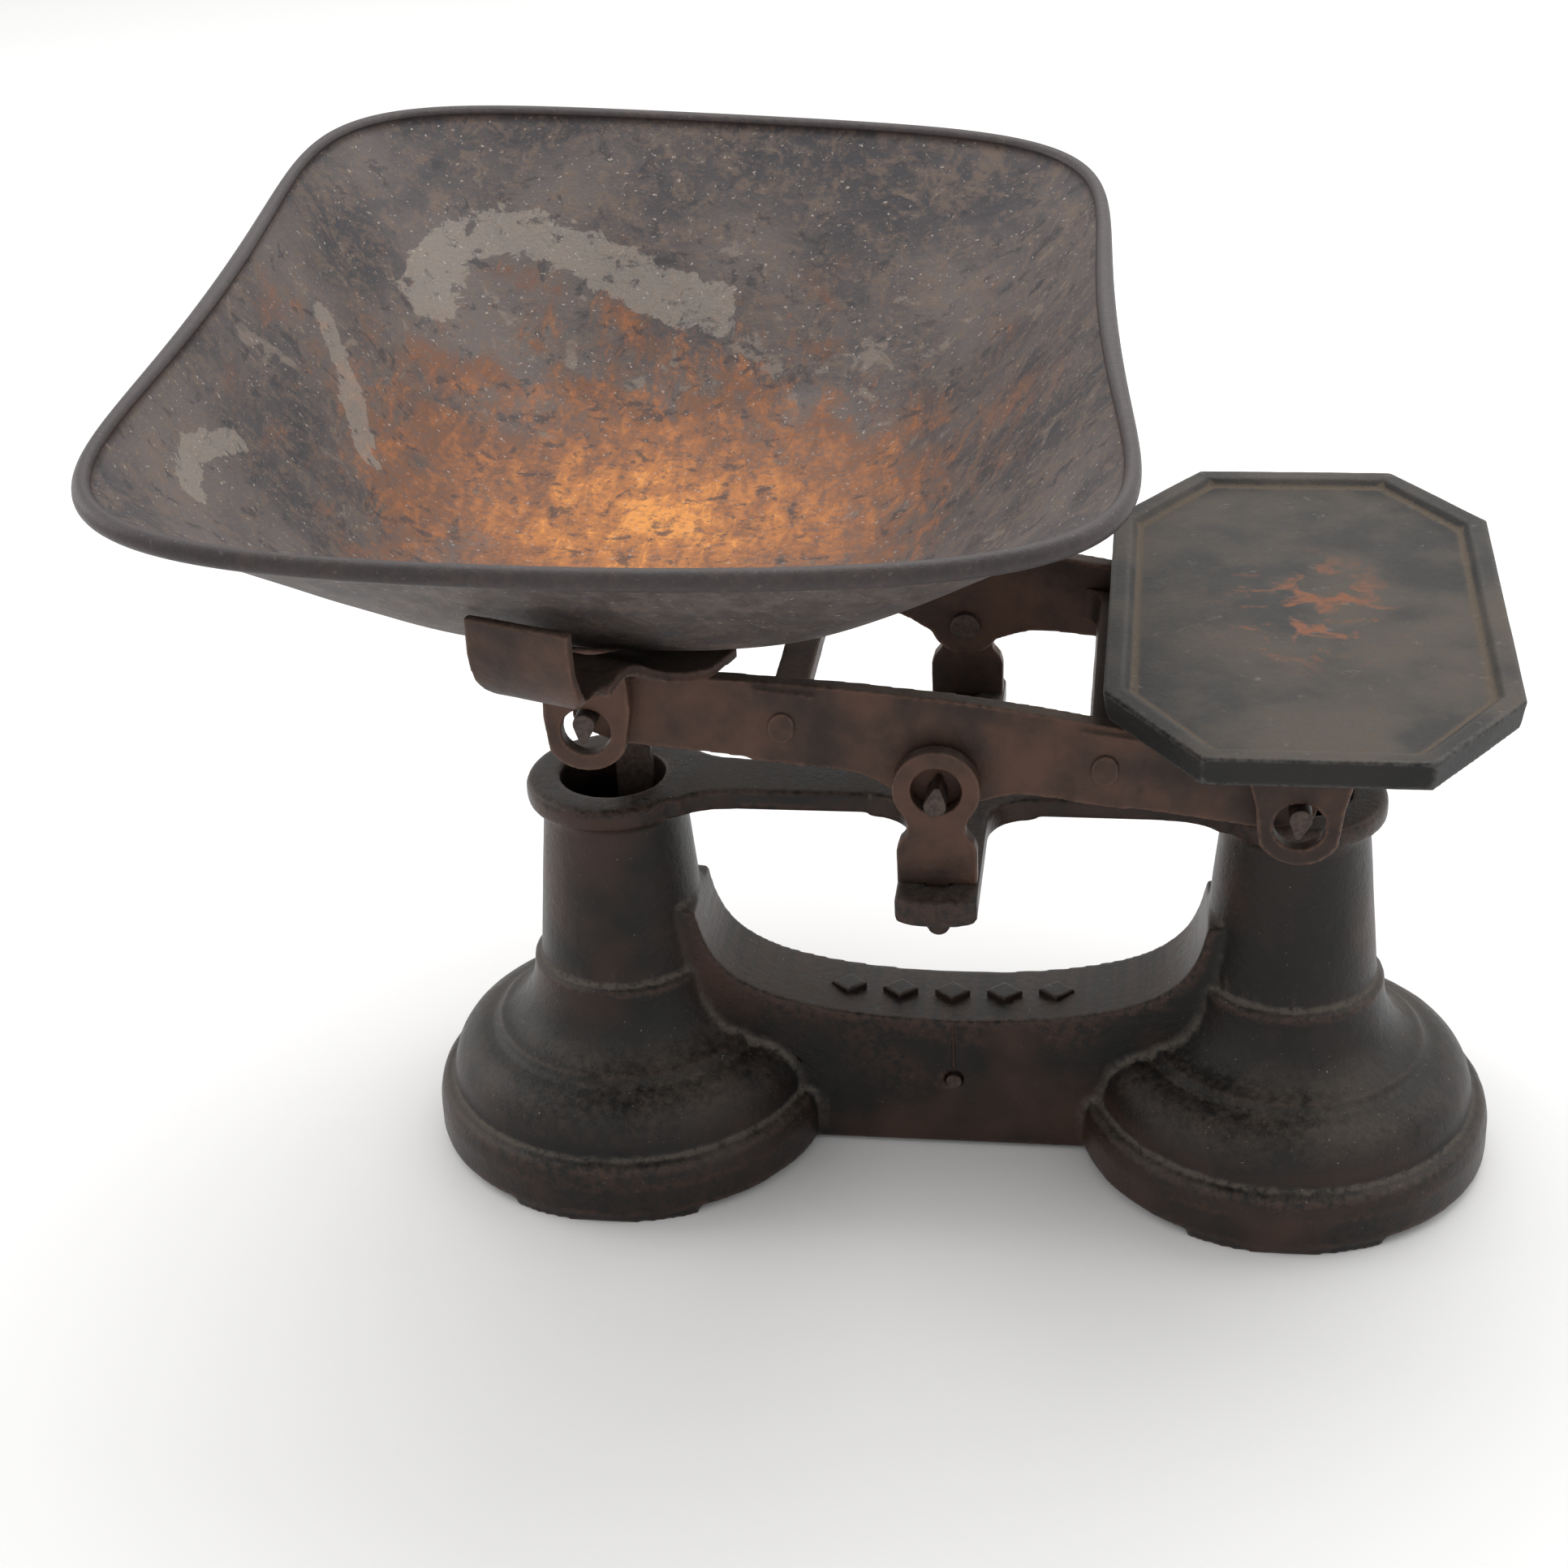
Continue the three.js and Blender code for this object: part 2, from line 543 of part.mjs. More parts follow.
// ---- weight side -----------------------------------------------------------------------------
function octagon(inset) {
  const x = PLATE_HALF_X - inset;
  const y = PLATE_HALF_Y - inset;
  const cut = inset * 0.55;
  const quarter = [[x, y - PLATE_CUT_Y + cut], [x - PLATE_CUT_X + cut, y]];
  const right = [...quarter.slice().reverse(), ...quarter.map(([u, v]) => [u, -v])];
  return mirrored(right);
}

// Two octagons at two heights joined by sloping sides.
function octagonSlab(low, lowInset, high, highInset) {
  const rings = [[low, lowInset], [high, highInset]]
    .map(([z, inset]) => octagon(inset).map(([x, y]) => [x, y, z]));
  const position = rings.flat(2);
  const count = rings[0].length;
  const index = [];
  for (let i = 0; i < count; i += 1) {
    const next = (i + 1) % count;
    index.push(i, count + next, next, i, count + i, count + next);
  }
  for (let i = 1; i + 1 < count; i += 1) index.push(0, i, i + 1, count, count + i + 1, count + i);
  const geometry = new THREE.BufferGeometry();
  geometry.setAttribute('position', new THREE.Float32BufferAttribute(position, 3));
  geometry.setIndex(index);
  return solid(geometry);
}

function weightPlate() {
  const bottom = PLATE_TOP - PLATE_T;
  let body = octagonSlab(bottom, 1.2, PLATE_TOP, 0)
    .subtract(octagonSlab(PLATE_TOP - PLATE_RECESS, PLATE_LIP + 2.4, PLATE_TOP + 1, PLATE_LIP - 1.1))
    .translate(weightPin[0] + 1.7, 0, 0);
  for (const y of [-30, 30]) body = body.subtract(bolt(y, GAP));
  return body;
}

// A hexagon-headed bolt through the yoke into the plate.
function bolt(y, grow) {
  const x = weightPin[0];
  const top = PLATE_TOP - PLATE_T + 3.6 + grow;
  const seat = YOKE_LOW - GAP;
  const head = turned([[0, seat - 3.6], [4.8 + grow, seat - 3.6], [4.8 + grow, seat], [0, seat]], x, y, 6);
  return head.add(turned([[0, seat - 1], [2.2 + grow, seat - 1], [2.2 + grow, top], [0, top]], x, y, 18));
}

function weightYoke() {
  const [x, z] = weightPin;
  const top = PLATE_TOP - PLATE_T - GAP;
  const rise = top - z + EYE_OFFSET;
  const shoulders = [[11.2, 5], [15, rise - 8], [15, rise], [-15, rise], [-15, rise - 8], [-11.2, 5]];
  const bridge = box(x - 15, x + 15, -EYE_OUT, EYE_OUT, top - 6.5, top);
  const ballast = box(x - 15, x + 15, GAP - RAIL_IN + 2, RAIL_IN - GAP - 2, YOKE_LOW, top);
  let body = union(bridge, ballast, ...eyePlates(weightPin, shoulders));
  for (const y of [-30, 30]) body = body.subtract(bolt(y, GAP));
  return body.subtract(tangSlot(weightPin, YOKE_LOW));
}

// ---- assembly --------------------------------------------------------------------------------
const group = new THREE.Group();
group.position.x = BASE_X;

function add(name, body, material, parent = group) {
  const mesh = new THREE.Mesh(body.isBufferGeometry ? body : geometryOf(body), material());
  mesh.name = name;
  parent.add(mesh);
  return mesh;
}

add('base_frame', baseFrame(), japanned);
add('bearing_front', bearing(-1), bronzed);
add('bearing_back', bearing(1), bronzed);
add('check_pivot_pin', pivotPin(), pinSteel);

const beam = new THREE.Group();
beam.position.set(MID_X, 0, FULCRUM_Z);
beam.rotation.y = TILT;
group.add(beam);
const link = new THREE.Group();
link.position.set(MID_X, 0, LINK_Z);
link.rotation.y = TILT;
group.add(link);

for (const [end, facing] of [['front', -1], ['back', 1]]) {
  add(`beam_rail_${end}`, rail(facing), bronzed, beam);
  add(`fulcrum_pin_${end}`, knifePin(0, 0, 1, facing), pinSteel, beam);
  add(`pan_pin_${end}`, knifePin(-ARM_LENGTH, PIN_RISE, -1, facing), pinSteel, beam);
  add(`weight_pin_${end}`, knifePin(ARM_LENGTH, PIN_RISE, -1, facing), pinSteel, beam);
}
add('beam_crossbar_pan', crossbar(-CROSS_X), bronzed, beam);
add('beam_crossbar_weight', crossbar(CROSS_X), bronzed, beam);

add('check_link', checkLink(), pinSteel, link);
add('check_pin_pan', linkPin(-ARM_LENGTH, PIN_RISE), pinSteel, link);
add('check_pin_weight', linkPin(ARM_LENGTH, PIN_RISE), pinSteel, link);

add('pan_cradle', cradle(), bronzed);
add('pan_leg', leg(panPin, CRADLE_Z), pinSteel);
const dish = add('pan', pan(), sheetIron);
dish.position.set(PAN_X, 0, PAN_RIM_Z);
dish.rotation.set(...PAN_TURN, 'YXZ');

add('weight_plate', weightPlate(), greyIron);
add('weight_yoke', weightYoke(), greyIron);
add('weight_leg', leg(weightPin, YOKE_LOW), pinSteel);
add('plate_bolt_front', bolt(-30, 0), pinSteel);
add('plate_bolt_back', bolt(30, 0), pinSteel);

export default group;
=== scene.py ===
"""Looks of an old cast-iron counter scale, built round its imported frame.

Lengths below are millimetres in the base's own X (the middle of the base casting is x = 0), the
same places as the CAD's; put() turns them into metres in the row frame.
"""
import json
import math

import bpy
import numpy as np
from mathutils import Matrix, Vector


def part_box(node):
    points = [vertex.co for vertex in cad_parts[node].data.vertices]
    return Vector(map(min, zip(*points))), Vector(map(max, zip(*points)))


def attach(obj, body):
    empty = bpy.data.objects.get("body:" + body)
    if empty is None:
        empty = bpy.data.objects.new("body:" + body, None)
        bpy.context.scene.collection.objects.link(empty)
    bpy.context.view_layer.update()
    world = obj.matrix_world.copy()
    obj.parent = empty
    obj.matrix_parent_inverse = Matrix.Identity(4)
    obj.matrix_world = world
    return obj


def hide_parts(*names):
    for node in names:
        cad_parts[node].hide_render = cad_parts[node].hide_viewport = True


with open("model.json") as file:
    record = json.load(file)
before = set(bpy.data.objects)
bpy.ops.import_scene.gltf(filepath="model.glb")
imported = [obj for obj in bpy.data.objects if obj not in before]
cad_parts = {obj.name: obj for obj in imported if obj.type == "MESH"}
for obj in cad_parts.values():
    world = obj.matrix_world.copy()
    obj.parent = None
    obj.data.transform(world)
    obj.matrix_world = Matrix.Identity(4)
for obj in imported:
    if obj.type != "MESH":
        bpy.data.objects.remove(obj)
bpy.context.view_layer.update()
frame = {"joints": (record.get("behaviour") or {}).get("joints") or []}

MM = 0.001


def box_mm(node):
    """Lowest and highest corner of a CAD node, in millimetres of the row frame."""
    low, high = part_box(node)
    return np.array(low) / MM, np.array(high) / MM


# ---- places read from the frame ---------------------------------------------------------------
JOINTS = {j["name"]: j for j in frame["joints"]}
BASE_LOW, BASE_HIGH = box_mm("base_frame")
BASE_X = round(float(BASE_LOW[0] + BASE_HIGH[0]) / 2, 2)


def pivot(joint):
    """A hinge's place in the X-Z plane, in millimetres from the middle of the base."""
    x, _, z = JOINTS[joint]["pos_m"]
    return np.array([x / MM - BASE_X, z / MM])


FULCRUM = pivot("beam_tilt")
PAN_PIN = pivot("pan_carrier_pivot")
WEIGHT_PIN = pivot("weight_carrier_pivot")
LINK_PIVOT = pivot("link_tilt")
TILT = math.atan2(PAN_PIN[1] - WEIGHT_PIN[1], WEIGHT_PIN[0] - PAN_PIN[0])
ARM_LENGTH = np.hypot(*(WEIGHT_PIN - PAN_PIN)) / 2
PIN_RISE = float((((PAN_PIN + WEIGHT_PIN) / 2) - FULCRUM) @ [math.sin(TILT), math.cos(TILT)])

# ---- driving dimensions -----------------------------------------------------------------------
PILLAR_X = 95
WALL = 4
COLLAR_TOP = BASE_HIGH[2]
BORE_R = 14.9
FOOT_R = 58.3
FOOT_LIFT = 2.5
WEB_HALF = 13.9
WEB_LOW = 43.4
BRIDGE_HALF = 9.85
BRIDGE_T = 6.3
ARM_HALF = 10.7
ARM_END = 67.5
ARM_T = 7.4
EYE_R = 11.3
EYE_HOLE_R = 6.5
EYE_OFFSET = 2
EYE_OUT = 57.3
EYE_IN = 52.8
RAIL_OUT = 51.3
RAIL_IN = 46.3
PAD_PROUD = 1.2
CROSS_X = 41.5
GAP = 0.3
CRADLE_Z = 177.2
CRADLE_T = 3.2
YOKE_LOW = 150

PLATE_LOW, PLATE_HIGH = box_mm("weight_plate")
PLATE_X = (PLATE_LOW[0] + PLATE_HIGH[0]) / 2 - BASE_X
PLATE_HALF = (PLATE_HIGH - PLATE_LOW)[:2] / 2
PLATE_CUT = np.array([24, 34])

PLATE_RECESS = 2.2
PLATE_LIP = 5

PAN_X = -73.8
PAN_RIM_Z = 250.55
PAN_HALF = (124, 140)
PAN_DEPTH = 68.1
PAN_FLOOR = 0.5
PAN_TURN_UP = 0.13
PAN_CORNER = 5.6
PAN_WAIST = 8.5
PAN_SWELL = 10.9
PAN_TAPER = -0.032
PAN_WARP = (0.5, -2.75)
PAN_SHEET = 1
PAN_BEAD = 2.6
PAN_TURN = (2.74, 2.69, 2.54)

CLAW_T = 2.7
CLAW_HALF = 13.7
CLAW_TURN = 19
CLAW_ROOT = -44
CLAW_ROUNDED = (116, 140)      # stretch of the strap where its lower corners are rounded off

SHANK_R = 2.6                  # knife pin's shank and the riveted head behind the rail
SHANK_HEAD_R = 4.2
PIN_PROUD = 2.4                # knife pin's end in front of the eyes
PAD_HALF = 9.5                 # thickened stretch of a rail, and how far its ends slope
PAD_SLOPE = 3
PAD_LOW = 1.5
PAD_TOP = 22
CROSS_LOW = 7.5
CROSS_TOP = 16.5
CROSS_RIVET = 0.9              # a crossbar's rivet end in front of the pad
LINE_HALF = 0.5                # thin line down the web


# ---- camera -----------------------------------------------------------------------------------
def make_camera():
    """A level-footed camera: yaw about Z, pitch down, a slight roll, and a long lens."""
    yaw, pitch, roll = np.radians([-8.68, 28.51, -2.65])
    ahead = Vector((math.sin(yaw) * math.cos(pitch), math.cos(yaw) * math.cos(pitch), -math.sin(pitch)))
    right = Vector((math.cos(yaw), -math.sin(yaw), 0))
    up = right.cross(ahead)
    side = right * math.cos(roll) + up * math.sin(roll)
    top = up * math.cos(roll) - right * math.sin(roll)
    data = bpy.data.cameras.new("camera")
    data.sensor_width = 36
    data.lens = 63.87
    data.clip_end = 100
    camera = bpy.data.objects.new("camera", data)
    bpy.context.scene.collection.objects.link(camera)
    camera.matrix_world = Matrix((
        (side[0], top[0], -ahead[0], (56.8 + BASE_X) * MM),
        (side[1], top[1], -ahead[1], -676.35 * MM),
        (side[2], top[2], -ahead[2], 483.43 * MM),
        (0, 0, 0, 1)))
    bpy.context.scene.camera = camera


make_camera()


# ---- numpy shapes: each is (points in mm, faces) ------------------------------------------------
def arc(x, y, rx, ry, start, stop, steps):
    """Points at x + rx cos a, y + ry sin a, with a going from start to stop degrees."""
    a = np.radians(np.linspace(start, stop, steps + 1))
    return np.stack([x + rx * np.cos(a), y + ry * np.sin(a)], 1)


def chain(*runs):
    """Runs of points one after another."""
    return np.concatenate([np.atleast_2d(np.asarray(r, float)) for r in runs])


def mirrored(half):
    """An outline that continues with its own mirror image across x = 0."""
    half = np.asarray(half, float)
    return np.concatenate([half, half[::-1] * [-1, 1]])


def spline(points, steps):
    """A Catmull-Rom curve through the points: cubic blends whose slopes are the neighbours' chords."""
    p = np.asarray(points, float)
    q = np.concatenate([[2 * p[0] - p[1]], p, [2 * p[-1] - p[-2]]])
    t = np.linspace(0, 1, steps, endpoint=False)[:, None]
    parts = [
        0.5 * (2 * b + (c - a) * t + (2 * a - 5 * b + 4 * c - d) * t**2 + (3 * b - a - 3 * c + d) * t**3)
        for a, b, c, d in zip(q, q[1:], q[2:], q[3:])
    ]
    return np.concatenate(parts + [p[-1:]])


def turned(profile, x=0.0, y=0.0, around=128, phase=0.0):
    """A profile of radius and height turned about a vertical axis: (x + r cos a, y + r sin a, z)."""
    profile = np.asarray(profile, float)
    a = (np.arange(around) + phase) * 2 * math.pi / around
    r, z = np.maximum(profile[:, 0], 0.05), profile[:, 1]
    ring = np.stack([
        x + r[:, None] * np.cos(a), y + r[:, None] * np.sin(a), np.broadcast_to(z[:, None], (len(r), around)),
    ], -1).reshape(-1, 3)
    k, i = np.meshgrid(np.arange(len(r) - 1), np.arange(around), indexing="ij")
    j = (i + 1) % around
    quads = np.stack([k * around + i, k * around + j, (k + 1) * around + j, (k + 1) * around + i], -1)
    caps = [list(range(around))[::-1], [(len(r) - 1) * around + n for n in range(around)]]
    return ring, quads.reshape(-1, 4).tolist() + caps


def prism(outline, start, stop, along="y"):
    """An outline carried straight from start to stop; it lies in X-Z (along y) or X-Y (along z)."""
    p = np.asarray(outline, float)
    n = len(p)
    layers = []
    for level in (start, stop):
        flat = np.full(n, float(level))
        layers.append(np.stack([p[:, 0], flat, p[:, 1]] if along == "y" else [p[:, 0], p[:, 1], flat], 1))
    sides = [[i, (i + 1) % n, n + (i + 1) % n, n + i] for i in range(n)]
    faces = sides + [list(range(n))[::-1], list(range(n, 2 * n))]
    area = np.sum(p[:, 0] * np.roll(p[:, 1], -1) - np.roll(p[:, 0], -1) * p[:, 1])
    outward = (area > 0) == (along == "z")
    if (start > stop) == outward:
        faces = [f[::-1] for f in faces]
    return np.concatenate(layers), faces


def block(x0, x1, y0, y1, z0, z1):
    """A box from corner to corner."""
    return prism([[x0, y0], [x1, y0], [x1, y1], [x0, y1]], z0, z1, "z")


def rod(x, z, radius, y0, y1, around=48):
    """A round bar along Y."""
    return prism(arc(x, z, radius, radius, 0, 360, around)[:-1], y0, y1)


def turn_z(shape, degrees, x=0.0, y=0.0):
    """A shape turned about the vertical through the origin, then moved."""
    a = math.radians(degrees)
    points = shape[0] @ np.array([[math.cos(a), math.sin(a), 0], [-math.sin(a), math.cos(a), 0], [0, 0, 1]])
    return points + [x, y, 0], shape[1]


def back_of(shape):
    """The mirror image of a front piece, across Y = 0."""
    return shape[0] * [1, -1, 1], [f[::-1] for f in shape[1]]


def on_side(end, shapes):
    """The front shapes, or their mirror images for the back."""
    return [back_of(shape) for shape in shapes] if end == "back" else shapes


def tilted(shape):
    """A shape drawn level about the fulcrum, turned down by the beam's tilt and set on the fulcrum."""
    x, z = FULCRUM
    c, s = math.cos(TILT), math.sin(TILT)
    p = shape[0]
    return np.stack([x + p[:, 0] * c + p[:, 2] * s, p[:, 1], z - p[:, 0] * s + p[:, 2] * c], 1), shape[1]


# ---- meshes and objects -------------------------------------------------------------------------
def put(name, shapes):
    """One object from several shapes, in metres of the row frame."""
    points, faces, count = [], [], 0
    for p, f in shapes:
        points.append((p + [BASE_X, 0, 0]) * MM)
        faces.extend([[i + count for i in face] for face in f])
        count += len(p)
    mesh = bpy.data.meshes.new(name)
    mesh.from_pydata(np.concatenate(points), [], faces)
    mesh.validate()
    thing = bpy.data.objects.new(name, mesh)
    bpy.context.scene.collection.objects.link(thing)
    return thing


def baked(thing, name):
    """The object's mesh with its modifiers applied, as a new object of that name."""
    evaluated = thing.evaluated_get(bpy.context.evaluated_depsgraph_get())
    mesh = bpy.data.meshes.new_from_object(evaluated)
    mesh.name = name
    result = bpy.data.objects.new(name, mesh)
    bpy.context.scene.collection.objects.link(result)
    return result


def cast(name, adds, cuts=(), voxel=0.6, smooth=6, keep=1.0):
    """Shapes joined and cut, re-skinned on a fine even grid, and eased so that every edge is rounded."""
    whole = put(name + "_rough", [adds[0]])
    helpers = [whole]
    for kind, shapes in (("UNION", adds[1:]), ("DIFFERENCE", cuts)):
        for shape in shapes:
            other = put(name + "_tool", [shape])
            other.hide_render = True
            helpers.append(other)
            step = whole.modifiers.new("join", "BOOLEAN")
            step.operation = kind
            step.solver = "EXACT"
            step.object = other
    skin = whole.modifiers.new("skin", "REMESH")
    skin.mode = "VOXEL"
    skin.voxel_size = voxel * MM
    ease = whole.modifiers.new("ease", "SMOOTH")
    ease.factor = 0.5
    ease.iterations = smooth
    if keep < 1:
        thin = whole.modifiers.new("thin", "DECIMATE")
        thin.ratio = keep
    result = baked(whole, name)
    for helper in helpers:
        bpy.data.meshes.remove(helper.data)
    return result


def read(mesh, what, width):
    """An array of one field of a mesh's vertices, edges or normals."""
    items, field = what
    out = np.zeros(len(items) * width, np.int32 if field == "vertices" else np.float32)
    items.foreach_get(field, out)
    return out.reshape(-1, width) if width > 1 else out


def lumps(p, size, seed):
    """Smooth random relief from -1 to 1: a sum of sine waves in seeded random directions."""
    rng = np.random.default_rng(seed)
    total = np.zeros(len(p))
    for _ in range(9):
        direction = rng.normal(size=3)
        direction *= 2 * math.pi / (size * rng.uniform(0.6, 1.7)) / np.linalg.norm(direction)
        total += np.sin(p @ direction + rng.uniform(0, 6.28))
    return total / 9


def weathered(thing, relief=0.0, size=6.0, seed=1, rounds=10, scale=0.35):
    """Moves points along their normals by a little relief, then stores how proud, hollow and upward
    each point is: the distance from the point to its averaged surroundings, and the normal's Z."""
    mesh = thing.data
    co = read(mesh, (mesh.vertices, "co"), 3).astype(float)
    if relief:
        normal = read(mesh, (mesh.vertex_normals, "vector"), 3)
        shift = lumps(co / MM, size, seed) + 0.5 * lumps(co / MM, size / 3, seed + 1)
        co = co + normal * (shift * relief * MM)[:, None]
        mesh.vertices.foreach_set("co", co.astype(np.float32).ravel())
        mesh.update()
    normal = read(mesh, (mesh.vertex_normals, "vector"), 3)
    edge = read(mesh, (mesh.edges, "vertices"), 2)
    count = len(co)
    degree = np.maximum(np.bincount(edge.ravel(), minlength=count), 1)
    soft = co.copy()
    for _ in range(rounds):
        for axis in range(3):
            value = soft[:, axis]
            total = np.bincount(edge[:, 0], value[edge[:, 1]], count)
            total += np.bincount(edge[:, 1], value[edge[:, 0]], count)
            soft[:, axis] = 0.5 * value + 0.5 * total / degree
    bend = np.einsum("ij,ij->i", co - soft, normal) / (scale * MM)
    for key, value in (
        ("proud", np.clip(bend, 0, 1)), ("hollow", np.clip(-bend, 0, 1)), ("upward", normal[:, 2]),
    ):
        layer = mesh.attributes.new(key, "FLOAT", "POINT")
        layer.data.foreach_set("value", value.astype(np.float32))
    mesh.polygons.foreach_set("use_smooth", np.ones(len(mesh.polygons), bool))
    mesh.update()
    return thing


def finish_piece(thing, body, slot, material, *nodes):
    """Gives a piece its body, finish and the CAD nodes that it stands for."""
    thing.data.materials.clear()
    thing.data.materials.append(material)
    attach(thing, body)
    if nodes:
        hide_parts(*nodes)
    return thing


# ---- shader maths -------------------------------------------------------------------------------
class Number:
    """A number that varies over the surface. Python's operators add the Math nodes."""

    def __init__(self, finish, socket):
        self.finish, self.socket = finish, socket

    def _do(self, operation, *values):
        node = self.finish.node("ShaderNodeMath", {"operation": operation}, list(values))
        return Number(self.finish, node.outputs[0])

    def __add__(self, other): return self._do("ADD", self, other)
    def __radd__(self, other): return self._do("ADD", other, self)
    def __sub__(self, other): return self._do("SUBTRACT", self, other)
    def __rsub__(self, other): return self._do("SUBTRACT", other, self)
    def __mul__(self, other): return self._do("MULTIPLY", self, other)
    def __rmul__(self, other): return self._do("MULTIPLY", other, self)
    def __truediv__(self, other): return self._do("DIVIDE", self, other)
    def __rtruediv__(self, other): return self._do("DIVIDE", other, self)
    def __pow__(self, other): return self._do("POWER", self, other)

    def least(self, other): return self._do("MINIMUM", self, other)
    def most(self, other): return self._do("MAXIMUM", self, other)

    def step(self, low, high):
        """0 below low and 1 above high, with a smooth S between."""
        node = self.finish.node(
            "ShaderNodeMapRange", {"interpolation_type": "SMOOTHSTEP"},
            {"Value": self, "From Min": low, "From Max": high})
        return Number(self.finish, node.outputs[0])


class Finish:
    """A material built from nodes on a Principled shader."""

    def __init__(self, name, roughness=0.5, metallic=0.0, specular=0.5):
        self.material = bpy.data.materials.new(name)
        self.material.use_nodes = True
        self.tree = self.material.node_tree
        self.tree.nodes.clear()
        self.shader = self.node("ShaderNodeBsdfPrincipled")
        self.shader.inputs["Roughness"].default_value = roughness
        self.shader.inputs["Metallic"].default_value = metallic
        self.shader.inputs["Specular IOR Level"].default_value = specular
        self.node("ShaderNodeOutputMaterial", inputs={"Surface": self.shader.outputs[0]})
        self.place = self.node("ShaderNodeTexCoord").outputs["Object"]

    def node(self, kind, settings=None, inputs=None):
        """Adds a node: its settings first, then a value or link for each socket by name or order."""
        node = self.tree.nodes.new(kind)
        for key, value in (settings or {}).items():
            if key == "stops":
                ramp = node.color_ramp.elements
                for at, colour in value[2:]:
                    ramp.new(at)
                for element, (at, colour) in zip(ramp, value):
                    element.position = at
                    element.color = (*colour, 1)
            else:
                setattr(node, key, value)
        pairs = inputs.items() if isinstance(inputs, dict) else enumerate(inputs or [])
        for key, value in pairs:
            if isinstance(value, Number):
                value = value.socket
            if isinstance(value, bpy.types.NodeSocket):
                self.tree.links.new(value, node.inputs[key])
            else:
                node.inputs[key].default_value = value
        return node

    def attribute(self, name):
        """One of the mesh's own stored numbers."""
        node = self.node("ShaderNodeAttribute", {"attribute_name": name})
        return Number(self, node.outputs["Fac"])

    def moved(self, scale=(1, 1, 1), place=(0, 0, 0), turn=(0, 0, 0)):
        """Object coordinates moved, turned and stretched."""
        node = self.node("ShaderNodeMapping", inputs={
            "Vector": self.place, "Location": place, "Rotation": turn, "Scale": scale})
        return node.outputs[0]

    def noise(self, size, detail=4.0, rough=0.55, twist=0.0, at=None):
        """Cloudy noise from 0 to 1 whose lumps are about size millimetres."""
        node = self.node("ShaderNodeTexNoise", inputs={
            "Vector": self.place if at is None else at, "Scale": 1000 / size, "Detail": detail,
            "Roughness": rough, "Distortion": twist})
        return Number(self, node.outputs["Fac"])

    def mix(self, share, first, second):
        """A colour between two colours."""
        def colour(value):
            return (*value, 1) if isinstance(value, tuple) else value
        node = self.node("ShaderNodeMix", {"data_type": "RGBA"}, {})
        for index, value in ((0, share), (6, colour(first)), (7, colour(second))):
            value = value.socket if isinstance(value, Number) else value
            if isinstance(value, bpy.types.NodeSocket):
                self.tree.links.new(value, node.inputs[index])
            else:
                node.inputs[index].default_value = value
        return node.outputs[2]

    def bump(self, height, depth, strength=1.0):
        """Fine relief; depth is its height in millimetres."""
        node = self.node("ShaderNodeBump", inputs={
            "Height": height, "Distance": depth * MM, "Strength": strength})
        self.tree.links.new(node.outputs[0], self.shader.inputs["Normal"])

    def set(self, **sockets):
        """Links a varying value to a socket of the shader."""
        for key, value in sockets.items():
            value = value.socket if isinstance(value, Number) else value
            self.tree.links.new(value, self.shader.inputs[key.replace("_", " ")])
        return self.material


# ---- finishes -----------------------------------------------------------------------------------
def japanned_iron():
    """Old brown-black japanning: worn brown on proud edges, grey-brown dust where it can lie."""
    f = Finish("japanned_iron", specular=0.3)
    proud, hollow, upward = f.attribute("proud"), f.attribute("hollow"), f.attribute("upward")
    cloud = f.noise(28, 5)
    fine = f.noise(2.2, 6, 0.65)
    grit = f.noise(0.7, 3, 0.7)
    base = f.mix(cloud.step(0.35, 0.7), (0.008, 0.0075, 0.007), (0.017, 0.0125, 0.0105))
    brown = (f.noise(45, 3).step(0.46, 0.68) * (1 - upward.step(0.0, 0.5)) * 0.8).most(
        proud.step(0.15, 0.7) * fine.step(0.35, 0.6) * 0.8)
    worn = f.mix(brown, base, (0.05, 0.025, 0.017))
    settled = upward.step(0.25, 0.95) * (cloud * 0.7 + fine * 0.6).step(0.42, 0.95)
    dust = (settled * 0.8 + hollow.step(0.15, 0.9) * upward.step(-0.2, 0.5) * fine.step(0.3, 0.6)).least(0.9)
    dusty = f.mix(dust, worn, f.mix(grit, (0.055, 0.045, 0.036), (0.12, 0.1, 0.082)))
    specks = f.noise(0.9, 2, 0.5).step(0.72, 0.78) * upward.step(-0.3, 0.6) * 0.7
    colour = f.mix(specks, dusty, (0.33, 0.29, 0.25))
    f.bump(grit * 0.35 + fine * 0.65, 0.35)
    return f.set(Base_Color=colour, Roughness=0.3 + dust * 0.45 + fine * 0.16, Metallic=0.2 - dust * 0.2)


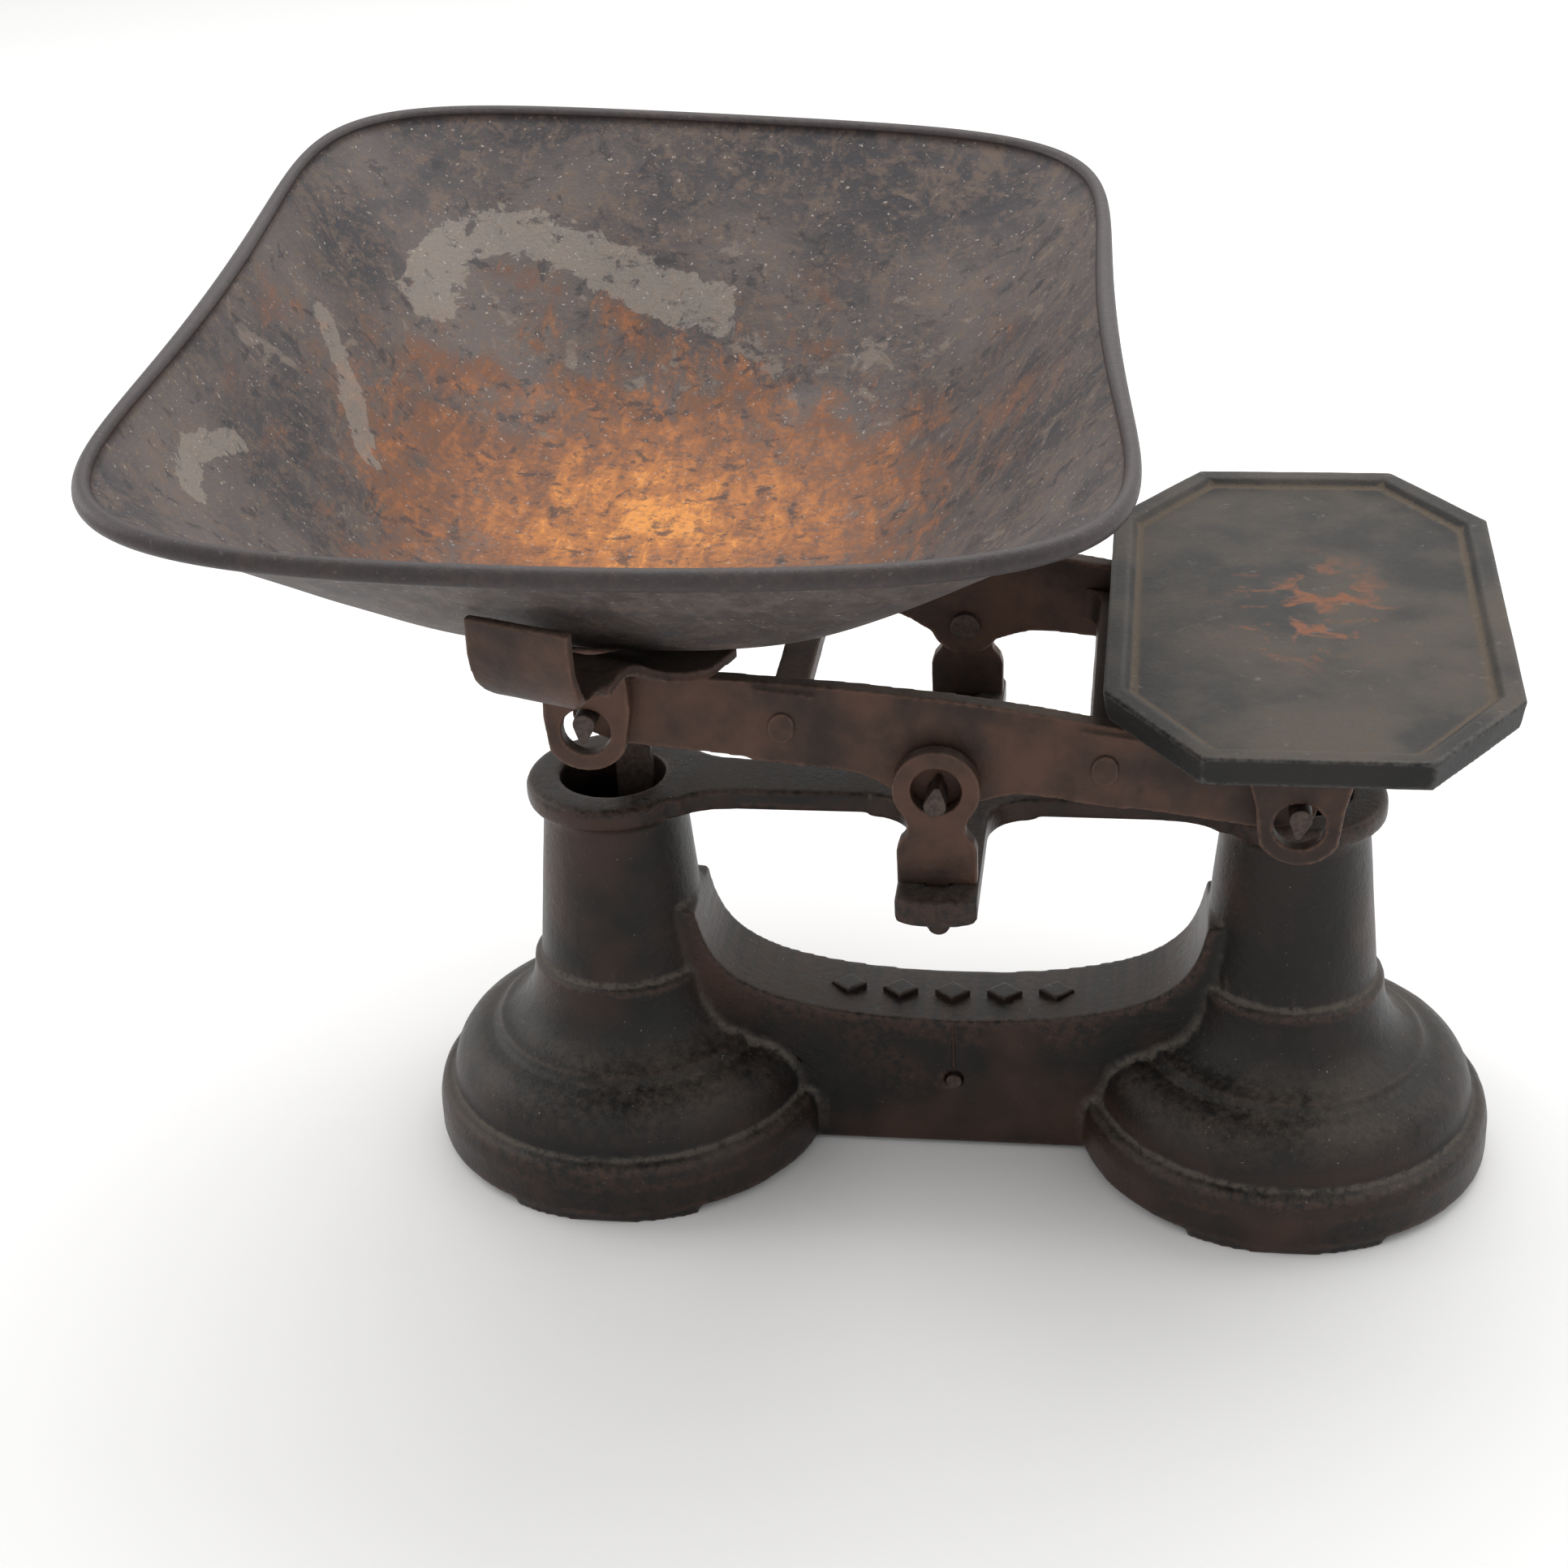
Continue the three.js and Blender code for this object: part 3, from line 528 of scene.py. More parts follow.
def bronzed_iron():
    """Copper-brown patina on the working parts, dark in the hollows and dusty on top."""
    f = Finish("bronzed_iron", specular=0.3)
    proud, hollow, upward = f.attribute("proud"), f.attribute("hollow"), f.attribute("upward")
    cloud = f.noise(22, 5)
    fine = f.noise(1.8, 6, 0.65)
    grit = f.noise(0.6, 3, 0.7)
    base = f.mix(cloud.step(0.32, 0.68), (0.028, 0.0185, 0.015), (0.088, 0.046, 0.032))
    worn = f.mix(proud.step(0.15, 0.8) * fine.step(0.3, 0.6) * 0.7, base, (0.13, 0.072, 0.05))
    dark = f.mix(hollow.step(0.1, 0.8) * 0.7, worn, (0.009, 0.007, 0.006))
    dust = (upward.step(0.35, 0.95) * (cloud * 0.6 + fine * 0.7).step(0.35, 0.9)).least(0.9)
    colour = f.mix(dust, dark, f.mix(grit, (0.06, 0.048, 0.038), (0.125, 0.1, 0.08)))
    f.bump(grit * 0.3 + fine * 0.7, 0.25)
    return f.set(Base_Color=colour, Roughness=0.38 + dust * 0.45 + fine * 0.15, Metallic=0.35 - dust * 0.35)


def plate_iron():
    """Dark grey iron with brown dust along the foot of the rim, a few rust spots in the middle, and painted
    shade on its sides.
    """
    f = Finish("plate_iron", specular=0.35)
    proud, hollow, upward = f.attribute("proud"), f.attribute("hollow"), f.attribute("upward")
    cloud = f.noise(30, 5)
    fine = f.noise(1.6, 6, 0.7)
    grit = f.noise(0.6, 3, 0.7)
    base = f.mix(cloud.step(0.35, 0.65), (0.022, 0.02, 0.018), (0.055, 0.046, 0.038))
    # painted shade: faces that don't point up (the plate's sides) are darkened nearly to black
    side = f.mix((1 - upward.step(0.2, 0.9)) * 0.85, base, (0.008, 0.008, 0.008))
    worn = f.mix(proud.step(0.2, 0.9) * fine.step(0.35, 0.6) * 0.6, side, (0.09, 0.085, 0.08))
    swept = hollow.step(0.05, 0.5) * upward.step(0.2, 0.8)
    lying = upward.step(0.6, 1) * cloud.step(0.42, 0.7) * fine.step(0.3, 0.7) * 0.7
    dust = (swept * fine.step(0.25, 0.55) + lying).least(0.85)
    dusty = f.mix(dust, worn, f.mix(grit, (0.07, 0.052, 0.036), (0.15, 0.115, 0.082)))
    spot = f.attribute("middle").step(0.25, 0.9) * f.noise(9, 4, 0.6, 0.6).step(0.5, 0.64)
    rusty = f.mix(spot * 0.8, dusty, (0.22, 0.075, 0.03))
    pale = f.noise(5, 6, 0.75).step(0.6, 0.72) * upward.step(0.6, 1) * 0.4
    colour = f.mix(pale, rusty, (0.24, 0.22, 0.2))
    f.bump(grit * 0.35 + fine * 0.65, 0.3)
    return f.set(Base_Color=colour, Roughness=0.42 + dust * 0.35 + fine * 0.2, Metallic=0.3 - dust * 0.3)


def worn_steel(name, tint):
    """Dull browned steel with fine scratches."""
    f = Finish(name, specular=0.5)
    fine = f.noise(1.5, 5, 0.65)
    streak = f.noise(1.2, 3, 0.6, at=f.moved(scale=(1, 1, 0.12)))
    colour = f.mix(fine.step(0.3, 0.7), tuple(0.45 * c for c in tint), tint)
    f.bump(fine * 0.6 + streak * 0.4, 0.15)
    return f.set(Base_Color=colour, Roughness=0.35 + fine * 0.3, Metallic=0.5 + streak * 0.2)


def pan_iron():
    """Worn tinned sheet: grey-brown sides, orange rust in the bowl, pale tin left in torn patches."""
    f = Finish("pan_iron", specular=0.4)
    out, side = f.attribute("bowl"), f.attribute("inside")
    rim, tinned = f.attribute("rim"), f.attribute("tin")
    cloud = f.noise(55, 5, 0.6)
    patch = f.noise(24, 7, 0.64, 0.6)
    scale = f.noise(9, 7, 0.7, 0.8, f.moved(place=(0.1, 0.3, 0)))
    fine = f.noise(2.2, 7, 0.7)
    grit = f.noise(0.8, 3, 0.7)
    stroke = f.noise(6, 6, 0.7, 0.6, f.moved(scale=(1, 0.3, 0.6), turn=(0, 0, 0.9)))
    sheet = f.mix(cloud.step(0.34, 0.66), (0.045, 0.041, 0.045), (0.115, 0.096, 0.09))
    dull = f.mix((scale * 0.6 + fine * 0.4).step(0.46, 0.58) * 0.65, sheet, (0.15, 0.105, 0.08))
    under = f.mix((1 - side) * stroke.step(0.35, 0.65) * 0.8, dull, (0.05, 0.038, 0.032))
    reach = out + (patch - 0.5) * 1.5 + (stroke - 0.5) * 0.7
    rusted = (1 - reach.step(0.45, 0.85)) * side
    brown = f.mix(rusted * (0.55 + fine.step(0.35, 0.6) * 0.45), under, (0.17, 0.072, 0.036))
    streaks = (1 - (out + (stroke - 0.5) * 1.6 + (scale - 0.5) * 1.1).step(0.2, 0.72)) * side
    rust = f.mix(streaks * fine.step(0.3, 0.58) * 0.85, brown, (0.36, 0.135, 0.045))
    bright = (1 - (out + (stroke - 0.5) * 1.3 + (scale - 0.5) * 0.7).step(0.05, 0.38)) * side
    orange = f.mix(bright * fine.step(0.3, 0.52) * 0.9, rust, (0.5, 0.19, 0.05))
    gold = (1 - (out + (stroke - 0.5) * 1.1 + (scale - 0.5) * 0.8).step(0.0, 0.16)) * side
    glow = f.mix(gold * fine.step(0.3, 0.55) * 0.8, orange, (0.75, 0.31, 0.07))
    torn = (patch * 0.5 + scale * 0.5).step(0.57, 0.6) * (1 - out.step(1.0, 1.3)) * out.step(0.3, 0.6)
    film = (tinned + (scale - 0.5) * 1.7 + (patch - 0.5) * 0.9).step(0.5, 0.56).most(torn * 0.55) * side
    plated = f.mix(film * (0.2 + grit * 0.65), glow, (0.27, 0.235, 0.2))
    dark = f.noise(7, 6, 0.7, 0.5, f.moved(place=(0.3, 0.1, 0.2))).step(0.55, 0.64) * side
    marked = f.mix(dark * 0.7, plated, (0.035, 0.032, 0.035))
    specks = f.noise(1.4, 4, 0.6, at=f.moved(place=(0.5, 0, 0))).step(0.64, 0.7) * 0.75
    dusty = f.mix(specks, marked, (0.42, 0.37, 0.33))
    edge = f.mix(rim * 0.85, dusty, f.mix(fine, (0.016, 0.013, 0.014), (0.06, 0.046, 0.046)))
    f.bump(grit * 0.2 + fine * 0.45 + scale * 0.35, 0.5)
    rough = 0.46 - rim * 0.16 + fine * 0.22 + rusted * 0.12
    return f.set(Base_Color=edge, Roughness=rough, Metallic=0.3 - rusted * 0.3)


JAPANNED = japanned_iron()
BRONZED = bronzed_iron()
PLATE = plate_iron()
PIN = worn_steel("pin_steel", (0.085, 0.06, 0.05))
LINK = worn_steel("link_steel", (0.06, 0.042, 0.034))
PAN = pan_iron()


# ---- base casting -------------------------------------------------------------------------------
def bell_profile():
    """Rim band, domed step, hollow cove, bead, tapered shaft and rounded collar, as radius, height."""
    return chain(
        [0, FOOT_LIFT], [FOOT_R - 0.4, FOOT_LIFT], [FOOT_R, 3.2], [FOOT_R, 12], [57.9, 14],
        arc(FOOT_R - 3.9, 14.6, 3.3, 3.7, 0, 80, 8), [54.4, 18.1], [53.6, 18.3],
        arc(40.5, 18.9, 12.8, 15.1, 6, 86, 20), [39.9, 34.7], [39.3, 35.6],
        arc(39.4, 56.5, 12.6, 19.7, 266, 184, 20), [26.5, 55.2], [26.9, 56], [26.5, 57], [24.6, 57.9],
        [20.3, 104.4], arc(22.5, 105.0, 2.2, 2.7, 190, 96, 8),
        arc(22.7, 109.5, 1.8, 1.8, -84, 0, 8), arc(22.5, 112.65, 2, 2, 0, 90, 10), [0, COLLAR_TOP])


def bell_cavity():
    """The hollow inside a foot and pillar, open below and at the collar's bore."""
    return chain(
        [0, -5], [FOOT_R - WALL, -5], [FOOT_R - WALL, 13],
        arc(38.5, 15.5, 13, 14.5, 0, 88, 10), arc(36.5, 54, 13.5, 20, 262, 190, 10),
        [20.4, 57], [16, 103], [BORE_R, 106], [BORE_R, COLLAR_TOP + 5], [0, COLLAR_TOP + 5])


def foot_pad(x, facing):
    """A low pad under the rim, front or back."""
    half, inner = 28, FOOT_R - WALL + 0.35
    outline = chain(
        arc(x, 0, FOOT_R - 0.7, FOOT_R - 0.7, facing * 90 - half, facing * 90 + half, 40),
        arc(x, 0, inner, inner, facing * 90 + half, facing * 90 - half, 40))
    return prism(outline, 0, FOOT_LIFT + 1, "z")


def saddle(drop):
    """The web's upper edge: nearly flat in the middle and sweeping up to the pillars."""
    half = [[0, WEB_LOW], [25, 44.8], [45, 48.4], [57, 53], [65, 59.5], [69.5, 67.5], [72, 77]]
    line = [[-x, z] for x, z in half[:0:-1]] + half
    return spline(line, 8) - [0, drop]


def web(half, low, drop, reach):
    """The web between the feet, or with a drop the hollow inside it."""
    edge = saddle(drop)
    edge = edge[np.abs(edge[:, 0]) < reach]
    outline = chain([-reach, low], [reach, low], [reach, edge[0, 1]], edge[::-1], [-reach, edge[0, 1]])
    return prism(outline, -half, half)


def bridge_outline():
    """The bar between the collars, spreading in plan where it runs into them."""
    inner = PILLAR_X - 21
    t = np.linspace(0, 1, 12)[:, None]
    start = np.array([-inner, -15.5])
    corner = np.array([-inner + 5, -BRIDGE_HALF])
    end = np.array([-inner + 17, -BRIDGE_HALF])
    flare = (1 - t) ** 2 * start + 2 * t * (1 - t) * corner + t**2 * end
    front = chain([-PILLAR_X, -17], flare, flare[::-1] * [-1, 1], [PILLAR_X, -17])
    return chain(front, front[::-1] * [1, -1])


def cross_arm_outline():
    """The arm across the bridge, with round ends and fillets in its corners."""
    fillet = 12
    quarter = chain(
        arc(0, ARM_END - 4, ARM_HALF, 4, 89, 0, 12), [ARM_HALF, BRIDGE_HALF + fillet],
        arc(ARM_HALF + fillet, BRIDGE_HALF + fillet, fillet, fillet, 180, 270, 10)[1:])
    right = chain(quarter, quarter[::-1] * [1, -1])
    return chain(right, right[::-1] * [-1, 1]) + [FULCRUM[0], 0]


def base_piece():
    """Feet, pillars, web, bridge and cross arm in one casting, hollow from below."""
    pillars = (-PILLAR_X, PILLAR_X)
    pads = [foot_pad(x, facing) for x in pillars for facing in (-1, 1)]
    adds = [turned(bell_profile(), x) for x in pillars]
    adds += [
        web(WEB_HALF, FOOT_LIFT - 0.7, 0, PILLAR_X - 8),
        prism(bridge_outline(), COLLAR_TOP - BRIDGE_T, COLLAR_TOP - 0.02, "z"),
        prism(cross_arm_outline(), COLLAR_TOP - ARM_T, COLLAR_TOP - 0.04, "z"),
    ]
    adds += pads
    middle = (EYE_OUT + EYE_IN) / 2
    x = FULCRUM[0]
    cuts = [turned(bell_cavity(), side, around=96, phase=0.37) for side in pillars]
    cuts += [web(WEB_HALF - WALL, -5, WALL, 62)]
    inner = WEB_HALF - WALL + 0.13
    cuts += [block(s * 73 - 22, s * 73 + 22, -inner, inner, -5.5, 45.5) for s in (-1, 1)]
    cuts += [rod(x, LINK_PIVOT[1], 2.5, -20, 20)]
    cuts += [block(x - 3.3, x + 3.3, s * middle - 2.3, s * middle + 2.3, 90, 130) for s in (-1, 1)]
    body = cast("base", adds, cuts, voxel=0.9, smooth=4, keep=0.4)
    weathered(body, relief=0.16, size=16, seed=3, rounds=14, scale=0.5)
    return finish_piece(body, "base", "base_iron", JAPANNED, "base_frame")


def ornament():
    """Five plain lozenges cast proud of the saddle, and the thin line down the web over the pivot."""
    lozenges = []
    for x in (-30, -15, 0, 15, 30):
        outline = [[x - 5.2, 0], [x, -4.6], [x + 5.2, 0], [x, 4.6]]
        lozenges.append(prism(outline, WEB_LOW - 1, WEB_LOW + 2.3 + 0.0016 * x * x, "z"))
    x = FULCRUM[0]
    front = (-WEB_HALF - 0.45, -WEB_HALF + 0.5)
    lozenges.append(block(x - LINE_HALF, x + LINE_HALF, *front, LINK_PIVOT[1] + 4, WEB_LOW - 1.5))
    piece = cast("saddle_ornament", lozenges, [], 0.36, 4, 0.6)
    weathered(piece, 0.08, 5, 5, 8, 0.25)
    finish_piece(piece, "base", "base_iron", JAPANNED)


base_piece()
ornament()


# ---- bearings, beam and pins ---------------------------------------------------------------------
def bearings():
    """Two plates on the cross arm that narrow to a neck and end in an eye."""
    x, eye = FULCRUM[0], FULCRUM[1] + EYE_OFFSET
    foot = COLLAR_TOP + GAP
    outline = mirrored(chain(
        [10.4, foot], [10.4, 124.5], [9.6, 127], [7.6, 129.4], [7.4, 131.8],
        arc(0, eye, EYE_R, EYE_R, -42, 90, 40)[:-1])) + [x, 0]
    middle = -(EYE_OUT + EYE_IN) / 2
    rivet = [[0.01, 99], [1.6, 99], [2.6, 99.8], [3.1, 101.4], [3.1, 106.9], [0.01, 106.9]]
    front = [
        prism(outline, -EYE_OUT, -EYE_IN),
        block(x - 3, x + 3, middle - 2, middle + 2, 101, foot + 1),
        turned(rivet, x, middle, 24),
    ]
    hole = rod(x, eye, EYE_HOLE_R, -EYE_OUT - 1, -EYE_IN + 1)
    for end in ("front", "back"):
        piece = cast(f"bearing_eye_{end}", on_side(end, front), on_side(end, [hole]), 0.38, 3, 0.6)
        weathered(piece, 0.08, 7, 11, 8, 0.25)
        finish_piece(piece, "base", "bronzed_iron", BRONZED, f"bearing_{end}")


def rail_outline():
    """One side bar of the beam, level: a hump over the fulcrum and necks that run out to the end pins."""
    right = chain(
        arc(0, 0, 10, 9.5, -90, -22, 16), spline([[15.5, -0.6], [24, 1.2], [54, 1.4], [84, 0.8]], 6),
        arc(ARM_LENGTH, PIN_RISE, 4.6, 4.6, -75, 62, 16),
        spline([[84, 18.4], [76, 21.4], [50, 23.4], [25, 24.8]], 6))
    return chain(right, [0, 25.4], right[:0:-1] * [-1, 1])


def rail_pad(x):
    """The thickened stretch of a rail where a crossbar is riveted."""
    flat = PAD_HALF - PAD_SLOPE
    outline = [
        [x - PAD_HALF, 1], [x - PAD_HALF, 0], [x - flat, -PAD_PROUD],
        [x + flat, -PAD_PROUD], [x + PAD_HALF, 0], [x + PAD_HALF, 1]]
    points, faces = prism(outline[::-1], PAD_LOW, PAD_TOP, "z")
    return points + [0, -RAIL_OUT, 0], [face[::-1] for face in faces]


def rails():
    """The two side bars of the beam, with a pad over each crossbar's rivet."""
    for end in ("front", "back"):
        adds = [prism(rail_outline(), -RAIL_OUT, -RAIL_IN), rail_pad(-CROSS_X), rail_pad(CROSS_X)]
        piece = cast(f"rail_{end}", [tilted(shape) for shape in on_side(end, adds)], [], 0.55, 4, 0.4)
        weathered(piece, 0.14, 12, 21, 12, 0.35)
        finish_piece(piece, "beam", "bronzed_iron", BRONZED, f"beam_rail_{end}")


def crossbars():
    """Two bars between the rails that spread at their ends, with an oval rivet through each rail."""
    reach = RAIL_IN - GAP
    for end, x in (("pan", -CROSS_X), ("weight", CROSS_X)):
        quarter = arc(9.5, reach - 9, 5, 9, 90, 180, 10)
        right = chain(quarter, quarter[::-1] * [1, -1])
        outline = chain(right, right[::-1] * [-1, 1]) + [x, 0]
        rivet = arc(x, 12, 3.6, 4.4, 0, 360, 32)[:-1]
        far = RAIL_OUT + PAD_PROUD + CROSS_RIVET
        shapes = [prism(outline, CROSS_LOW, CROSS_TOP, "z"), prism(rivet, -far, far)]
        piece = cast(f"crossbar_{end}", [tilted(shape) for shape in shapes], [], 0.45, 3, 0.5)
        weathered(piece, 0.1, 9, 31, 8, 0.3)
        finish_piece(piece, "beam", "bronzed_iron", BRONZED, f"beam_crossbar_{end}")


def knife_pins():
    """Pear-shaped pins: a round that runs down, or at the fulcrum up, to a blunt edge."""
    for name, x, z, point in (
        ("fulcrum", 0, 0, 1), ("pan", -ARM_LENGTH, PIN_RISE, -1), ("weight", ARM_LENGTH, PIN_RISE, -1),
    ):
        section = chain(
            arc(0, -1.2 * point, 2.9, 2.9 * point, -200, 20, 24), [0.7, 4.3 * point], [-0.7, 4.3 * point])
        section = section[::point] + [x, z]
        shapes = [
            prism(section, -EYE_OUT - PIN_PROUD, -RAIL_OUT - GAP),
            rod(x, z, SHANK_R, -RAIL_OUT - 1, -RAIL_IN + 1, 24),
            rod(x, z, SHANK_HEAD_R, -RAIL_IN + GAP, -RAIL_IN + 2, 24)]
        for end in ("front", "back"):
            sided = [tilted(shape) for shape in on_side(end, shapes)]
            piece = cast(f"knife_{name}_{end}", sided, [], 0.24, 2)
            weathered(piece)
            finish_piece(piece, "beam", "pin_steel", PIN, f"{name}_pin_{end}")


# ---- cradle and yoke -----------------------------------------------------------------------------
def eye_plates(pin, shoulders):
    """Front and back hanging eyes, and the holes to cut in them."""
    x, z = pin[0], pin[1] - EYE_OFFSET
    outline = chain(arc(0, 0, EYE_R, EYE_R, 210, 330, 40), shoulders) + [x, z]
    plate = prism(outline, -EYE_OUT, -EYE_IN)
    hole = rod(x, z, EYE_HOLE_R, -EYE_OUT - 1, -EYE_IN + 1)
    return [plate, back_of(plate)], [hole, back_of(hole)]


def claw():
    """A strap that leaves the hub, rises, dips and turns up: its upper line and the same line moved
    square to itself by its thickness, carried across its width; and the two cutters that round the
    lower corners of its upright face."""
    line = spline([
        [24, 180.4], [62, 180.8], [72, 183], [82, 186.8], [92, 192], [101, 197.6], [106, 199.6],
        [110, 199.9], [114, 199], [118, 198], [121.5, 198], [124.8, 199.6], [127.2, 202.4],
        [128.8, 206.4], [129.6, 211], [129.8, 219]], 4)
    slope = np.gradient(line, axis=0)
    slope /= np.linalg.norm(slope, axis=1)[:, None]
    under = line + CLAW_T * np.stack([slope[:, 1], -slope[:, 0]], 1)
    strap = prism(chain(line, under[::-1]), -CLAW_HALF, CLAW_HALF)
    low, radius = 194.6, 9
    corner = chain(
        arc(CLAW_HALF - radius + 0.2, low + radius, radius, radius, -90, 0, 16),
        [CLAW_HALF + 3, low + radius], [CLAW_HALF + 3, low - 3], [CLAW_HALF - radius, low - 3])
    cutters = []
    for side in (-1, 1):
        cutters.append(turn_z(prism(corner * [side, 1], *CLAW_ROUNDED), -90))
    return strap, cutters


def cradle():
    """The pan carrier: a hub plate with two eyes below it and two straps that end in claws."""
    x, z = PAN_PIN
    top = CRADLE_Z + CRADLE_T
    half = np.array([
        [x - 22, -34], [x - 10, -EYE_OUT], [x + 11, -EYE_OUT], [x + 20, -45], [x + 46, -42], [x + 50, -24]])
    hub = prism(chain(half, half[::-1] * [1, -1]), CRADLE_Z, top, "z")
    high = CRADLE_Z - z + EYE_OFFSET + 1
    plates, holes = eye_plates(PAN_PIN, [[12, 6], [11, high], [-10, high], [-11, 4]])
    strap, cutters = claw()
    claws = [turn_z(strap, f * (90 + CLAW_TURN), CLAW_ROOT) for f in (-1, 1)]
    cuts = holes + [turn_z(c, f * (90 + CLAW_TURN), CLAW_ROOT) for f in (-1, 1) for c in cutters]
    cuts += [block(x + 28.5, x + 60, *ends, CRADLE_Z - 5, top + 5) for ends in ((-55, -45.2), (45.2, 55))]
    piece = cast("cradle", [hub, *plates, *claws], cuts, 0.5, 4, 0.42)
    weathered(piece, 0.12, 12, 41, 10, 0.3)
    finish_piece(piece, "pan_carrier", "bronzed_iron", BRONZED, "pan_cradle")


def yoke():
    """The weight carrier's bridge with its thick middle and two eyes."""
    x, z = WEIGHT_PIN
    top = PLATE_LOW[2] - GAP
    rise = top - z + EYE_OFFSET
    shoulders = [[11.2, 5], [15, rise - 8], [15, rise], [-15, rise], [-15, rise - 8], [-11.2, 5]]
    plates, holes = eye_plates(WEIGHT_PIN, shoulders)
    adds = [
        block(x - 15, x + 15, -EYE_OUT, EYE_OUT, top - 6.5, top),
        block(x - 15, x + 15, GAP - RAIL_IN + 2, RAIL_IN - GAP - 2, YOKE_LOW, top), *plates]
    piece = cast("yoke", adds, holes, 0.5, 4, 0.42)
    weathered(piece, 0.12, 12, 51, 10, 0.3)
    finish_piece(piece, "weight_carrier", "plate_iron", BRONZED, "weight_yoke")


# ---- weight plate --------------------------------------------------------------------------------
def octagon(inset):
    """The plate's outline drawn in by an inset."""
    x, y = PLATE_HALF - inset
    cut = PLATE_CUT - inset * 0.55
    quarter = np.array([[x - cut[0], y], [x, y - cut[1]]])
    right = chain(quarter, quarter[::-1] * [1, -1])
    return chain(right, right[::-1] * [-1, 1])[::-1]


def octagon_slab(low, low_inset, high, high_inset):
    """Two octagons at two heights joined by sloping sides."""
    levels = [
        np.column_stack([octagon(inset), np.full(8, float(z))])
        for z, inset in ((low, low_inset), (high, high_inset))]
    sides = [[i, (i + 1) % 8, 8 + (i + 1) % 8, 8 + i] for i in range(8)]
    return np.concatenate(levels) + [PLATE_X, 0, 0], sides + [list(range(8))[::-1], list(range(8, 16))]


def weight_plate():
    """An octagonal plate with a raised lip; the attribute middle falls off from its centre."""
    bottom, top = PLATE_LOW[2], PLATE_HIGH[2]
    recess = octagon_slab(top - PLATE_RECESS, PLATE_LIP + 2.4, top + 1, PLATE_LIP - 1.1)
    piece = cast("plate", [octagon_slab(bottom, 1.2, top, 0)], [recess], 0.62, 3, 0.35)
    weathered(piece, 0.1, 18, 61, 12, 0.3)
    co = read(piece.data, (piece.data.vertices, "co"), 3) / MM - [BASE_X + PLATE_X, 0, 0]
    near = np.exp(-(co[:, 0] ** 2 + (co[:, 1] * 0.7) ** 2) / 28**2)
    piece.data.attributes.new("middle", "FLOAT", "POINT").data.foreach_set("value", near.astype(np.float32))
    finish_piece(piece, "weight_carrier", "plate_iron", PLATE, "weight_plate")


# ---- pan -----------------------------------------------------------------------------------------
def pan_points(s, a, out, up, lift):
    """The sheet at radius s (0 middle, 1 rim) and angle a: the reach of a superellipse that squares up
    as s grows, waisted sides, swelling ends, a flat floor that turns up into straight flanks, and a
    slight twist. The rolled edge adds out and up round the rim; lift is the sheet's thickness."""
    grow = s**1.5
    n = 2 + (PAN_CORNER - 2) * grow
    c, d = np.cos(a), np.sin(a)
    reach = (np.abs(c / PAN_HALF[0]) ** n + np.abs(d / PAN_HALF[1]) ** n) ** (-1 / n)
    u, v = reach * c / PAN_HALF[0], reach * d / PAN_HALF[1]
    waist = grow * PAN_WAIST * np.sign(u) * np.abs(u) ** 3 * (1 - v * v)
    x = s * (reach * c - waist) * (1 + PAN_TAPER * v * grow)
    y = s * (reach * d + grow * PAN_SWELL * np.sign(v) * np.abs(v) ** 3 * (1 - u * u))

    def rise(r):
        return np.hypot(r - PAN_FLOOR, PAN_TURN_UP) + r - PAN_FLOOR

    height = (rise(s) - rise(0)) / (rise(1) - rise(0)) - 1
    warp = PAN_WARP[0] * (4 * u * u * v * v - 1) + PAN_WARP[1] * u * v
    z = PAN_DEPTH * height + grow * warp + lift
    length = np.maximum(np.hypot(x, y), 1e-6)
    return np.stack([x + out * x / length, y + out * y / length, z + up], -1)


